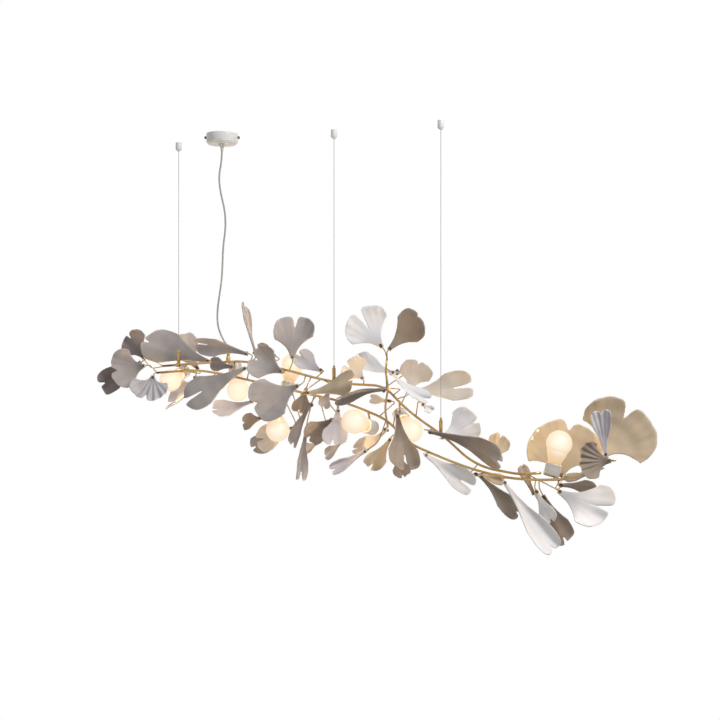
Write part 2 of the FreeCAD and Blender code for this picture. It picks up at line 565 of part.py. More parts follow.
def twig(leaf):
    """Thin bar from its stem, one bend, then along the leaf's axis into the eyelet behind the screw."""
    eye = leaf.base + leaf.knob * ((EYELET_TOP + EYELET_FOOT) / 2)
    span = (eye - leaf.start).Length
    corner = eye - leaf.ahead * (0.42 * span)
    finish = eye - leaf.ahead * (0.40 * size("eyelet_diameter"))
    bar, _, _ = tube([leaf.start, corner, finish], size("twig_diameter"))
    reach = size("eyelet_diameter") / 2
    disc = Part.makeCylinder(reach, size("eyelet_thick"), V(0, 0, EYELET_FOOT))
    bore = size("screw_diameter") / 2 + size("screw_clearance")
    hole = Part.makeCylinder(bore, size("leaf_seat"), V(0, 0, EYELET_FOOT - size("leaf_seat") / 2))
    above = Part.makeCylinder(reach + size("twig_diameter"), size("leaf_seat"), V(0, 0, EYELET_TOP))
    whole = bar.fuse(placed(disc, leaf.fixing))
    return whole.cut([placed(hole, leaf.fixing), placed(above, leaf.fixing)])


copies("leaf_screws", leaf_screw(), [leaf.fixing for leaf in leaves])
copies("leaf_nuts", leaf_nut(), [leaf.fixing for leaf in leaves])

TWIG_SPLITS = (("twigs_left", -2000, -180), ("twigs_middle", -180, 150), ("twigs_right", 150, 2000))
for label, low, high in TWIG_SPLITS:
    group = [twig(leaf) for row, leaf in zip(LEAVES, leaves) if low <= row[2][0] < high]
    shape_node(label, group[0].fuse(group[1:]))

# ---------------------------------------------------------------- lamps

# Each lamp: globe centre from the branch datum, the way the globe points, the stem and the
# datum x where its arm starts.
LAMPS = [
    (V(-510, 258, -55), V(-0.35, -0.88, -0.3), "upper", -456),
    (V(-324, 222, -80), V(0.15, -0.3, -0.94), "lower", -332),
    (V(-208, 85, -177), V(0.2, 0.2, -0.96), "lower", -235),
    (V(-175, 158, -13), V(0.2, 0.25, 0.95), "lower", -184),
    (V(-15, -46, -148), V(-0.6, -0.75, 0.25), "lower", 20),
    (V(127, 34, -176), V(0.35, -0.75, -0.5), "upper", 96),
    (V(459, -166, -192), V(0.25, 0, 0.97), "lower", 445),
]
GLOBE_RADIUS = size("bulb_diameter") / 2
CAP_TOP = GLOBE_RADIUS - size("bulb_reach")
CAP_END = CAP_TOP - size("cap_depth")
HOLDER_TOP = CAP_TOP - 0.6
HOLDER_END = CAP_END - size("holder_floor_gap") - size("holder_floor")


def bulb():
    """Opal globe on a screw cap; origin at the globe's centre, +Z out of the lampholder."""
    neck = size("bulb_neck") / 2
    cap = size("cap_diameter") / 2
    blend = math.radians(-38)
    touch = V(GLOBE_RADIUS * math.cos(blend), 0, GLOBE_RADIUS * math.sin(blend))
    top = V(0, 0, GLOBE_RADIUS)
    side = V(GLOBE_RADIUS * math.cos(0.5), 0, GLOBE_RADIUS * math.sin(0.5))
    shoulder = V(neck, 0, CAP_TOP)
    flank = Part.BSplineCurve()
    flank.interpolate(
        Points=[touch, shoulder],
        Tangents=[V(math.sin(blend), 0, -math.cos(blend)) * 50, V(-0.05, 0, -1) * 30],
        TangentFlags=[True, True],
    )
    edges = [Part.Arc(top, side, touch).toShape(), flank.toShape()]
    corners = [shoulder, V(cap, 0, CAP_TOP), V(cap, 0, CAP_END + 5), V(5, 0, CAP_END), V(0, 0, CAP_END), top]
    edges += [Part.LineSegment(p, q).toShape() for p, q in zip(corners, corners[1:])]
    return Part.Face(Part.Wire(edges)).revolve(V(0, 0, 0), V(0, 0, 1), 360)


def lampholder():
    """Porcelain cup with a closed floor, in the bulb's frame."""
    outer = "sizes.holder_diameter / 2"
    inner = "sizes.cap_diameter / 2 + sizes.holder_clearance"
    top = "sizes.bulb_diameter / 2 - sizes.bulb_reach - 0.6"
    floor = "sizes.bulb_diameter / 2 - sizes.bulb_reach - sizes.cap_depth - sizes.holder_floor_gap"
    end = floor + " - sizes.holder_floor"
    return turned_body("lampholder_form", [
        ("0", end), (outer + " - 3", end), (outer, end + " + 3"), (outer, top + " - 1.5"),
        (outer + " - 1.5", top), (inner, top), (inner, floor), ("0", floor),
    ]).Shape


def envelope():
    """The lampholder without its bore, to trim its arm."""
    return Part.makeCylinder(size("holder_diameter") / 2, HOLDER_TOP - HOLDER_END, V(0, 0, HOLDER_END))


globe = bulb()
lamp_places = [axis_placement(DATUM + centre, aim) for centre, aim, _, _ in LAMPS]
arms = []
for number, (place, (_, _, stem, start_x)) in enumerate(zip(lamp_places, LAMPS), start=1):
    shape_node(f"bulb_{number}", placed(globe, place))
    start, _ = at_x(stem, start_x)
    middle = place.multVec(V(0, 0, HOLDER_END + 0.25 * (HOLDER_TOP - HOLDER_END)))
    bar = Part.makeCylinder(size("arm_diameter") / 2, (middle - start).Length, start, middle - start)
    arms.append(bar.cut(placed(envelope(), place)))
copies("lampholders", lampholder(), lamp_places)
shape_node("lamp_arms", Part.makeCompound(arms))

# ---------------------------------------------------------------- cables, grippers and anchors

CABLES = [("cable_left", -480), ("cable_middle", -65), ("cable_right", 194)]
CABLE_BORE = "sizes.cable_diameter / 2 + sizes.cable_play"
BASE_FACE = "-sizes.anchor_base_depth"


def gripper():
    """Cable gripper standing on its collar's ear: body, nose and a through bore; origin at its foot."""
    spigot = "0.05 - sizes.collar_width / 2"
    foot = "sizes.gripper_spigot / 2"
    radius = "sizes.gripper_diameter / 2"
    nose = "sizes.gripper_nose / 2"
    top = "sizes.gripper_length"
    return turned_body("gripper_form", [
        (CABLE_BORE, spigot), (foot, spigot), (foot, "0"), (radius, "0"), (radius, top + " - 7"),
        (nose, top + " - 5.5"), (nose, top), (CABLE_BORE, top),
    ]).Shape


def anchor_base():
    """Disc on the ceiling with one screw hole."""
    disc = cylinder("anchor_base_disc", "sizes.anchor_diameter / 2", "sizes.anchor_base_depth")
    hole = cylinder("anchor_base_hole", "sizes.anchor_hole / 2", "sizes.anchor_base_depth")
    below = V(0, 0, -size("anchor_base_depth"))
    disc.Placement.Base = below
    hole.Placement.Base = below
    return cut("anchor_base_form", disc, [hole]).Shape


def anchor_cap():
    """Cap over the cable's ball, bored for the cable, open to the base."""
    outer = "sizes.anchor_diameter / 2"
    hollow = outer + " - 2"
    mouth = BASE_FACE + " - sizes.anchor_cap_depth"
    seat = BASE_FACE + " - sizes.stop_play - sizes.cable_stop - 0.2"
    return turned_body("anchor_cap_form", [
        (hollow, BASE_FACE), (outer, BASE_FACE), (outer, mouth + " + 4"), ("4", mouth), (CABLE_BORE, mouth),
        (CABLE_BORE, seat), (hollow, seat),
    ]).Shape


def collar(centre, along):
    """Ring round the rod with an ear behind it, bored upright for the gripper's spigot."""
    inner = size("rod_diameter") / 2
    outer = inner + size("collar_wall")
    wide = size("collar_width")
    ear_reach = size("gripper_offset") + 5.5
    ear_thick = size("ear_thick")
    ring = Part.makeCylinder(outer, wide, centre - along * (wide / 2), along)
    ear = Part.makeBox(wide, ear_reach, ear_thick, V(-wide / 2, 0, -ear_thick / 2))
    ear.translate(centre)
    rod_hole = Part.makeCylinder(inner + 0.05, 3 * wide, centre - along * (1.5 * wide), along)
    spigot_bore = size("gripper_spigot") / 2 + 0.05
    spigot = Part.makeCylinder(spigot_bore, 3 * ear_thick, V(0, size("gripper_offset"), -1.5 * ear_thick))
    spigot.translate(centre)
    return ring.fuse(ear).cut([rod_hole, spigot])


collars = []
feet = []
ceiling_points = []
for label, x in CABLES:
    centre, along = at_x("upper", x)
    foot = centre + V(0, size("gripper_offset"), size("ear_thick") / 2 + 0.05)
    collars.append(collar(centre, along))
    feet.append(FreeCAD.Placement(foot, FreeCAD.Rotation()))
    ceiling_points.append(FreeCAD.Placement(V(foot.x, foot.y, 0), FreeCAD.Rotation()))
    lower_end = foot.z - size("cable_tail")
    top = V(foot.x, foot.y, -size("anchor_base_depth") - size("cable_stop") / 2 - size("stop_play"))
    reach = f"{-lower_end} - sizes.anchor_base_depth - sizes.cable_stop / 2 - sizes.stop_play"
    wire = cylinder(label + "_wire", "sizes.cable_diameter / 2", reach, V(foot.x, foot.y, lower_end))
    ball = doc.addObject("Part::Sphere", label + "_ball")
    bind(ball, Radius="sizes.cable_stop / 2")
    ball.Placement.Base = top
    keep(joined(label, [wire, ball]), label)
shape_node("gripper_collars", Part.makeCompound(collars))
copies("grippers", gripper(), feet)
copies("anchor_bases", anchor_base(), ceiling_points)
copies("anchor_caps", anchor_cap(), ceiling_points)

# ---------------------------------------------------------------- ceiling rose and power cord

ROSE_IN = size("rose_diameter") / 2 - size("rose_wall")
EAR_SCREW_DEPTH = size("ear_drop") - 5.0
GLAND_SEAT = -size("rose_height")
CORD_START = V(0, 0, GLAND_SEAT + size("rose_wall") + size("gland_rise"))
CORD_BORE = "sizes.cord_diameter / 2 + sizes.cord_play"


def ceiling_rose():
    """Shallow spun cup, open to the ceiling, with the gland hole and two side screw holes."""
    outer = size("rose_diameter") / 2
    deep = -size("rose_height")
    wall = size("rose_wall")
    shoulder = size("rose_shoulder")
    hole = size("gland_diameter") / 2 + size("cord_play")
    shell = turned([
        (ROSE_IN, 0), (outer, 0), (outer, deep + shoulder), (outer - shoulder, deep), (hole, deep),
        (hole, deep + wall), (ROSE_IN - 4, deep + wall), (ROSE_IN, deep + shoulder),
    ])
    bore = size("rose_screw") / 2 + 0.2
    side = Part.makeCylinder(bore, 2 * outer + 4, V(-outer - 2, 0, -EAR_SCREW_DEPTH), V(1, 0, 0))
    return shell.cut(side)


def rose_bracket():
    """Strip on the ceiling with two holes for ceiling screws and an ear at each end."""
    wide = size("bracket_width")
    half = math.sqrt(ROSE_IN ** 2 - (wide / 2) ** 2) - 0.4
    thick = size("bracket_thick")
    drop = size("ear_drop")
    strip = Part.makeBox(2 * half, wide, thick, V(-half, -wide / 2, -thick))
    left = Part.makeBox(thick, wide / 2, drop, V(-half, -wide / 4, -drop))
    right = Part.makeBox(thick, wide / 2, drop, V(half - thick, -wide / 4, -drop))
    apart = size("bracket_hole_spacing") / 2
    hole = size("bracket_hole") / 2
    holes = [Part.makeCylinder(hole, 3 * thick, V(x, 0, -2 * thick)) for x in (-apart, apart)]
    thread = size("rose_screw") / 2 + 0.05
    holes.append(Part.makeCylinder(thread, 4 * half, V(-2 * half, 0, -EAR_SCREW_DEPTH), V(1, 0, 0)))
    return strip.fuse([left, right]).cut(holes)


def rose_screws():
    """Two knurled screws through the rose's wall into the bracket's ears."""
    head = "sizes.rose_screw_head / 2"
    shank = "sizes.rose_screw / 2"
    profile = turned_body("rose_screw_form", [
        ("0", "-7"), (shank, "-7"), (shank, "0"), (head, "0"), (head, "4"), (head + " - 0.8", "4.8"),
        ("0", "4.8"),
    ])
    outer = size("rose_diameter") / 2 + 0.1
    sides = [axis_placement(V(side * outer, 0, -EAR_SCREW_DEPTH), V(side, 0, 0)) for side in (-1, 1)]
    return copies("rose_screws", profile.Shape, sides)


def cord_gland():
    """Flanged gland through the rose's floor, with a tapered nose round the cord."""
    body = "sizes.gland_diameter / 2"
    flange = "sizes.gland_flange / 2"
    seat = "-sizes.rose_height"
    top = seat + " + sizes.rose_wall + sizes.gland_rise"
    nose = seat + " - sizes.gland_nose"
    return turned_body("cord_gland", [
        (CORD_BORE, top), (body, top), (body, seat + " - 0.1"), (flange, seat + " - 0.1"),
        (flange, seat + " - 2.5"), (body, seat + " - 4"), (CORD_BORE + " + 1.2", nose), (CORD_BORE, nose),
    ])


def terminal_block():
    """Moulded block under the bracket, with three wire ways."""
    long, wide, high = size("block_length"), size("block_width"), size("block_height")
    foot = -size("bracket_thick") - high
    block = Part.makeBox(long, wide, high, V(-long / 2, -wide / 2, foot))
    way = size("block_way") / 2
    ways = [Part.makeCylinder(way, 2 * wide, V(x, -wide, foot + high / 2), V(0, 1, 0)) for x in (-9, 0, 9)]
    return block.cut(ways)


shape_node("ceiling_rose", ceiling_rose())
shape_node("rose_bracket", rose_bracket())
rose_screws()
keep(cord_gland(), "cord_gland")
shape_node("terminal_block", terminal_block())

# The cord's way down from the rose, chosen by hand, in the row frame.
branch_end, branch_along = at_x("upper", -341)
GLAND_TOP = branch_end + V(0, 0, size("ferrule_height"))
CORD_ROUTE = [
    CORD_START, V(0, 0, -64), V(-9, 1, -108), V(-4, 3, -150), V(7, 6, -196), V(8, 9, -240), V(1, 13, -284),
    V(-1, 18, -328), V(-4, 24, -372), V(-11, 29, -412), V(-17, 36, -450), V(-17, 42, -486), V(-6, 47, -518),
    GLAND_TOP + V(0, 0, 14), GLAND_TOP,
]
cord, cord_wire, cord_radii = tube(CORD_ROUTE, size("cord_diameter"))
section = math.pi * size("cord_diameter") ** 2 / 4
print("power cord length", round(cord_wire.Length, 1), "radii", [round(r) for r in cord_radii])
print("power cord volume against section times length", round(cord.Volume / (section * cord_wire.Length), 4))
shape_node("power_cord", cord)


def branch_gland():
    """Ferrule that sits over the upper rod like a saddle and takes the cord's lower end."""
    outer = size("ferrule_diameter") / 2
    top = size("ferrule_height")
    mouth = size("cord_diameter") / 2 + size("cord_play")
    ferrule = turned([
        (0, 0), (outer, 0), (outer, top / 2), (outer - 1.3, top / 2 + 2), (mouth + 0.9, top + 8),
        (mouth, top + 8), (mouth, top - 0.2), (0, top - 0.2),
    ])
    ferrule.translate(branch_end)
    way = size("rod_diameter") / 2 + 0.02
    rod_way = Part.makeCylinder(way, 60, branch_end - branch_along * 30, branch_along)
    return ferrule.cut(rod_way)


shape_node("branch_gland", branch_gland())

# ---------------------------------------------------------------- check and write

doc.recompute()
for obj in doc.Objects:
    if any(word in obj.State for word in ("Invalid", "Error")):
        raise RuntimeError(f"{obj.Label} failed: {obj.State}")
os.makedirs("parts", exist_ok=True)
names = [obj.Label for obj in parts]
if len(set(names)) != len(names):
    raise RuntimeError("two sub-parts share a name")
for obj in parts:
    if obj.Shape.isNull() or not obj.Shape.isValid():
        raise RuntimeError(f"{obj.Label} has no valid shape")
    obj.Shape.exportStep(f"parts/{obj.Label}.step")
print(len(parts), "sub-parts,", sum(len(obj.Shape.Solids) for obj in parts), "solids")
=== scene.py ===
"""Looks of the branch chandelier: porcelain leaves, opal globes, brass branch, steel cables, cord.

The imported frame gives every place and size. Each group of pieces has its own operator, and all
lengths are in metres.
"""

import json
import math

import bmesh
import bpy
import numpy as np
from mathutils import Matrix, Vector, kdtree


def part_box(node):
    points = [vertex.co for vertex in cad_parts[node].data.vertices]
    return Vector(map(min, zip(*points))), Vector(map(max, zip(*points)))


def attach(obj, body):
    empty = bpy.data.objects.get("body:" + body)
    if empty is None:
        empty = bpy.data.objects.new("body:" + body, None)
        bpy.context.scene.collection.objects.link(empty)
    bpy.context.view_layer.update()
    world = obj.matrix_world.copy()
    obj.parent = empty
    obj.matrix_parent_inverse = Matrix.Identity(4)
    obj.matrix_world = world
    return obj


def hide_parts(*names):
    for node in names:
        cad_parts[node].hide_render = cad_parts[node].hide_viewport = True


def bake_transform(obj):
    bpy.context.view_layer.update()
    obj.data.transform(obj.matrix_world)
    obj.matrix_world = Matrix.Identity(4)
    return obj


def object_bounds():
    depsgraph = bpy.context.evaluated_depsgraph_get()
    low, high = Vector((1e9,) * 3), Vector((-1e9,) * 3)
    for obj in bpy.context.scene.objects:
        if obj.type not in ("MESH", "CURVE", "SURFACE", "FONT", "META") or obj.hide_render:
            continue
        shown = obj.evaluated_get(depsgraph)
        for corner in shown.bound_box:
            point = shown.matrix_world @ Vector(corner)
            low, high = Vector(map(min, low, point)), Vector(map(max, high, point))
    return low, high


bl_info = {
    "name": "Branch chandelier",
    "version": (1, 0, 0),
    "blender": (4, 5, 0),
    "location": "3D View > Sidebar > Chandelier",
    "description": "Dresses the chandelier's frame in porcelain, opal glass, brass and steel",
    "category": "Object",
}

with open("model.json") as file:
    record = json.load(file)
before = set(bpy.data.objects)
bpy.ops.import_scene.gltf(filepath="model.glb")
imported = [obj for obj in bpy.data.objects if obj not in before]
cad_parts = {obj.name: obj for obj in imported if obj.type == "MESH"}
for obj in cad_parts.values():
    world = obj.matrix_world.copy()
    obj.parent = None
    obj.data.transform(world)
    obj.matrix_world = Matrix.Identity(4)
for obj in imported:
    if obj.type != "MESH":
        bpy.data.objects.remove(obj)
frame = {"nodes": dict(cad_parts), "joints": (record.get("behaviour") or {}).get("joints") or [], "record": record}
CAD_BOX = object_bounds()
NODES = frame["nodes"]
NODE_BODY = {
    node: body
    for body, members in frame["record"]["behaviour"]["bodies"].items()
    for node in members
}
JOINT_AXIS = {
    joint["child"]: Vector(joint["axis"]).normalized()
    for joint in frame["joints"]
    if joint["type"] == "slide"
}
FASTENERS = ("leaf_screws", "leaf_nuts")
LEAF_NODES = sorted(n for n in NODES if n.startswith(("leaves_", "leaf_")) and n not in FASTENERS)
BULB_NODES = sorted(n for n in NODES if n.startswith("bulb_"))

MM = 0.001
WELD = 2e-6  # corners of the frame's triangles that lie closer than this are one
SEED_STEP = 1.37  # from one leaf's unevenness to the next one's

# The power cord's route from the rose's gland to the branch's gland.
CORD_ROUTE = [
    (0.0, 0.0, -0.0205), (0.0, 0.0, -0.064), (-0.009, 0.001, -0.108), (-0.004, 0.003, -0.150),
    (0.007, 0.006, -0.196), (0.008, 0.009, -0.240), (0.001, 0.013, -0.284), (-0.001, 0.018, -0.328),
    (-0.004, 0.024, -0.372), (-0.011, 0.029, -0.412), (-0.017, 0.036, -0.450), (-0.017, 0.042, -0.486),
    (-0.006, 0.047, -0.518),
]

# Porcelain tones, each a lit and a shaded colour: the leaves are one white porcelain, and the tones are painted
# light and painted shade for how the light falls on each leaf and what it faces.
PAINTED_LIGHT_SHADE_TONES = {
    "white": ((0.82, 0.81, 0.81), (0.68, 0.66, 0.67)),
    "grey": ((0.47, 0.43, 0.41), (0.29, 0.255, 0.24)),
    "lilac": ((0.60, 0.575, 0.60), (0.43, 0.40, 0.43)),
    "dusk": ((0.27, 0.235, 0.22), (0.16, 0.135, 0.125)),
    "taupe": ((0.35, 0.285, 0.225), (0.21, 0.165, 0.13)),
    "tan": ((0.62, 0.50, 0.35), (0.47, 0.37, 0.25)),
    "cream": ((0.66, 0.59, 0.51), (0.52, 0.45, 0.38)),
}
# Each leaf node's painted light and shade tones, for its leaves from left to right.
LEAF_PAINTED_LIGHT_SHADE_TONES = {
    "leaf_left_tip": ["dusk"],
    "leaves_left_end": ["dusk", "grey", "lilac", "lilac", "grey"],
    "leaf_left_long": ["grey"],
    "leaves_left_middle": ["grey", "grey", "dusk", "grey", "lilac"],
    "leaf_upright_narrow": ["grey"],
    "leaves_centre_left": ["grey", "grey"],
    "leaves_glow_left": ["taupe", "grey", "cream", "taupe"],
    "leaf_blade": ["dusk"],
    "leaf_hanging_slim": ["grey"],
    "leaf_upright_fan": ["grey"],
    "leaves_centre_top": ["taupe", "lilac", "grey", "white"],
    "leaves_centre_front": ["tan", "cream", "dusk"],
    "leaves_hub": ["cream", "taupe", "white", "cream"],
    "leaves_centre_low": ["grey", "taupe", "grey", "lilac"],
    "leaves_glow_centre": ["lilac", "cream", "tan"],
    "leaf_hanging_brown": ["taupe"],
    "leaf_crown_white": ["white"],
    "leaf_crown_brown": ["taupe"],
    "leaf_split_right": ["cream"],
    "leaves_right_front": ["white", "white", "taupe"],
    "leaves_right_back": ["white", "tan", "tan"],
    "leaf_drop_short": ["taupe"],
    "leaf_drop_long": ["white"],
    "leaves_right_low": ["taupe", "white", "taupe"],
    "leaf_end_back": ["tan"],
    "leaf_end_tan": ["tan"],
    "leaves_right_end": ["taupe", "grey", "taupe", "lilac", "taupe"],
    "leaf_end_white": ["white"],
}


# ---------------------------------------------------------------- settings that a user may change


class ChandelierSettings(bpy.types.PropertyGroup):
    """Sizes and colours of the finish."""

    clay_step: bpy.props.FloatProperty(
        name="Clay step", description="Size of the porcelain's mesh faces",
        default=1.3 * MM, min=0.6 * MM, subtype="DISTANCE",
    )
    clay_uneven: bpy.props.FloatProperty(
        name="Hand unevenness", description="How far a leaf wanders from its mould",
        default=0.45 * MM, min=0.0, subtype="DISTANCE",
    )
    rim_nibble: bpy.props.FloatProperty(
        name="Rim unevenness", description="How far a leaf's rim draws in between its waves",
        default=2.2 * MM, min=0.0, subtype="DISTANCE",
    )
    fold_gain: bpy.props.FloatProperty(
        name="Fold shading", description="How much further than its mould a leaf's folds catch the light",
        default=2.4, min=1.0,
    )
    vein_depth: bpy.props.FloatProperty(
        name="Vein depth", description="Depth of the fine lines that fan out over a leaf",
        default=0.10 * MM, min=0.0, subtype="DISTANCE",
    )
    brass_colour: bpy.props.FloatVectorProperty(
        name="Brass", description="Colour of the polished brass",
        default=(0.50, 0.32, 0.12), size=3, subtype="COLOR", min=0.0, max=1.0,
    )
    glow_colour: bpy.props.FloatVectorProperty(
        name="Lamp glow", description="Colour of the lit globes",
        default=(1.0, 0.74, 0.44), size=3, subtype="COLOR", min=0.0, max=1.0,
    )
    glow_power: bpy.props.FloatProperty(
        name="Lamp power", description="Light that each globe throws on its neighbours",
        default=1.5, min=0.0, unit="POWER",
    )
    cord_diameter: bpy.props.FloatProperty(
        name="Cord diameter", description="Outside of the power cord's sheath",
        default=4.6 * MM, min=1.0 * MM, subtype="DISTANCE",
    )
    cable_diameter: bpy.props.FloatProperty(
        name="Cable diameter", description="Outside of a suspension cable",
        default=1.5 * MM, min=0.5 * MM, subtype="DISTANCE",
    )


def settings():
    """The scene's settings."""
    return bpy.context.scene.chandelier


# ---------------------------------------------------------------- mesh helpers


def new_object(name, mesh):
    """An object of its own in the scene, at the origin."""
    piece = bpy.data.objects.new(name, mesh)
    bpy.context.scene.collection.objects.link(piece)
    return piece


def mesh_of(name, work):
    """A mesh from a bmesh, which is freed."""
    mesh = bpy.data.meshes.new(name)
    work.to_mesh(mesh)
    work.free()
    return mesh


def piece_of(name, work, angle):
    """A smooth object from a bmesh, which is freed."""
    return smooth(new_object(name, mesh_of(name, work)), angle)


def merged(node):
    """A bmesh of a CAD node with its loose triangles joined."""
    work = bmesh.new()
    work.from_mesh(NODES[node].data)
    bmesh.ops.remove_doubles(work, verts=work.verts, dist=WELD)
    return work


def islands(work):
    """Lists of vertices, one for each separate solid."""
    left = set(work.verts)
    found = []
    while left:
        seed = left.pop()
        group = [seed]
        stack = [seed]
        while stack:
            for edge in stack.pop().link_edges:
                for near in edge.verts:
                    if near in left:
                        left.discard(near)
                        group.append(near)
                        stack.append(near)
        found.append(group)
    return found


def solids_of(node):
    """Each solid of a CAD node as (corner array, triangle list), from left to right."""
    work = merged(node)
    found = []
    for group in islands(work):
        numbers = {v: k for k, v in enumerate(group)}
        faces = {f for v in group for f in v.link_faces}
        corners = np.array([v.co for v in group])
        triangles = sorted([numbers[v] for v in f.verts] for f in faces)
        found.append((corners, triangles))
    work.free()
    return sorted(found, key=lambda solid: solid[0][:, 0].mean())


def smooth(piece, angle=35.0):
    """Shade smooth, with edges kept where faces meet at more than the angle."""
    piece.data.shade_smooth()
    piece.data.set_sharp_from_angle(angle=math.radians(angle))
    return piece


def finished(piece, node, material):
    """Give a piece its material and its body."""
    piece.data.materials.clear()
    piece.data.materials.append(material)
    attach(piece, NODE_BODY[node])
    return piece


def dressed(node, material, angle=35.0):
    """A merged, smooth copy of a CAD node that stands for it."""
    piece = piece_of(node + "_dressed", merged(node), angle)
    finished(piece, node, material)
    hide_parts(node)
    return piece


def evaluated_mesh(piece):
    """A new mesh of an object as its modifiers, or its curve, give it."""
    bpy.context.view_layer.update()
    depsgraph = bpy.context.evaluated_depsgraph_get()
    return bpy.data.meshes.new_from_object(piece.evaluated_get(depsgraph))


def applied(piece):
    """The piece's evaluated mesh as its plain mesh, with its modifiers gone."""
    mesh = evaluated_mesh(piece)
    piece.modifiers.clear()
    piece.data = mesh
    return piece


def band(work, low, high):
    """Quads between two rings that have as many vertices."""
    for k, corner in enumerate(low):
        after = (k + 1) % len(low)
        work.faces.new((corner, low[after], high[after], high[k]))


def lathe(profile, segments):
    """Body of revolution about Z from (radius, height) points, closed at its poles, as a bmesh."""
    work = bmesh.new()
    rings = []
    for radius, height in profile:
        if radius < 1e-9:
            rings.append([work.verts.new((0, 0, height))])
            continue
        turns = [2 * math.pi * k / segments for k in range(segments)]
        ring = [(radius * math.cos(a), radius * math.sin(a), height) for a in turns]
        rings.append([work.verts.new(corner) for corner in ring])
    for low, high in zip(rings, rings[1:]):
        for k in range(segments):
            after = (k + 1) % segments
            corners = [
                low[k % len(low)], low[after % len(low)], high[after % len(high)], high[k % len(high)],
            ]
            corners = list(dict.fromkeys(corners))  # a pole is one corner, not two
            if len(corners) > 2:
                work.faces.new(corners)
    bmesh.ops.recalc_face_normals(work, faces=work.faces)
    return work


def placed_along(centre, axis):
    """Matrix that puts local +Z along an axis at a point."""
    return Matrix.Translation(centre) @ Vector(axis).to_track_quat("Z", "Y").to_matrix().to_4x4()


# ---------------------------------------------------------------- material helpers


def add(tree, kind, inputs=None, **choices):
    """A node with its settings and inputs; an input may be a value or a socket to link."""
    made = tree.nodes.new(kind)
    for key, value in choices.items():
        setattr(made, key, value)
    for key, value in (inputs or {}).items():
        if isinstance(value, bpy.types.NodeSocket):
            tree.links.new(value, made.inputs[key])
        else:
            made.inputs[key].default_value = value
    return made


def maths(tree, operation, first, second=0.0):
    """Output of a Math node."""
    return add(tree, "ShaderNodeMath", {0: first, 1: second}, operation=operation).outputs[0]


def ranged(tree, value, low, high, to_low, to_high):
    """A value carried from one range to another."""
    names = {"Value": value, "From Min": low, "From Max": high, "To Min": to_low, "To Max": to_high}
    return add(tree, "ShaderNodeMapRange", names).outputs["Result"]


def mixed(tree, share, first, second):
    """Colour between two colours."""
    made = add(tree, "ShaderNodeMix", data_type="RGBA")
    for socket, value in ((made.inputs[0], share), (made.inputs[6], first), (made.inputs[7], second)):
        if isinstance(value, bpy.types.NodeSocket):
            tree.links.new(value, socket)
        elif isinstance(value, tuple):
            socket.default_value = (*value[:3], 1.0)
        else:
            socket.default_value = value
    return made.outputs[2]


def grain_group():
    """Slow clouding and fine grain, from Object coordinates; used by every finish."""
    found = bpy.data.node_groups.get("Grain")
    if found:
        return found
    tree = bpy.data.node_groups.new("Grain", "ShaderNodeTree")
    for label, default in (("Cloud scale", 18.0), ("Grain scale", 900.0)):
        socket = tree.interface.new_socket(label, in_out="INPUT", socket_type="NodeSocketFloat")
        socket.default_value = default
    for label in ("Cloud", "Grain"):
        tree.interface.new_socket(label, in_out="OUTPUT", socket_type="NodeSocketFloat")
    given, out = tree.nodes.new("NodeGroupInput"), tree.nodes.new("NodeGroupOutput")
    place = add(tree, "ShaderNodeTexCoord").outputs["Object"]
    cloud = add(tree, "ShaderNodeTexNoise", {
        "Vector": place, "Scale": given.outputs["Cloud scale"], "Detail": 3.0, "Roughness": 0.55,
    })
    fine = add(tree, "ShaderNodeTexNoise", {
        "Vector": place, "Scale": given.outputs["Grain scale"], "Detail": 2.0, "Roughness": 0.6,
    })
    tree.links.new(cloud.outputs[0], out.inputs["Cloud"])
    tree.links.new(fine.outputs[0], out.inputs["Grain"])
    return tree


def blank(name):
    """A material with an empty tree, its shader and its output."""
    material = bpy.data.materials.new(name)
    material.use_nodes = True
    tree = material.node_tree
    tree.nodes.clear()
    shader = tree.nodes.new("ShaderNodeBsdfPrincipled")
    out = tree.nodes.new("ShaderNodeOutputMaterial")
    tree.links.new(shader.outputs[0], out.inputs[0])
    return material, tree, shader


def grain_in(tree, cloud_scale, grain_scale):
    """The grain group placed in a material."""
    made = tree.nodes.new("ShaderNodeGroup")
    made.node_tree = grain_group()
    made.inputs["Cloud scale"].default_value = cloud_scale
    made.inputs["Grain scale"].default_value = grain_scale
    return made


def link_normal(tree, shader, height, distance, strength=1.0):
    """Bump from a height into the shader's normal."""
    bump = add(tree, "ShaderNodeBump", {"Height": height, "Distance": distance, "Strength": strength})
    tree.links.new(bump.outputs[0], shader.inputs["Normal"])


def material_once(name, make):
    """A material by name, made the first time."""
    return bpy.data.materials.get(name) or make(name)


VEINS = 46.0  # fine lines per radian of a leaf's fan
# Colour of the painted highlight on a leaf's rim.
RIM_HIGHLIGHT = (0.84, 0.82, 0.81)


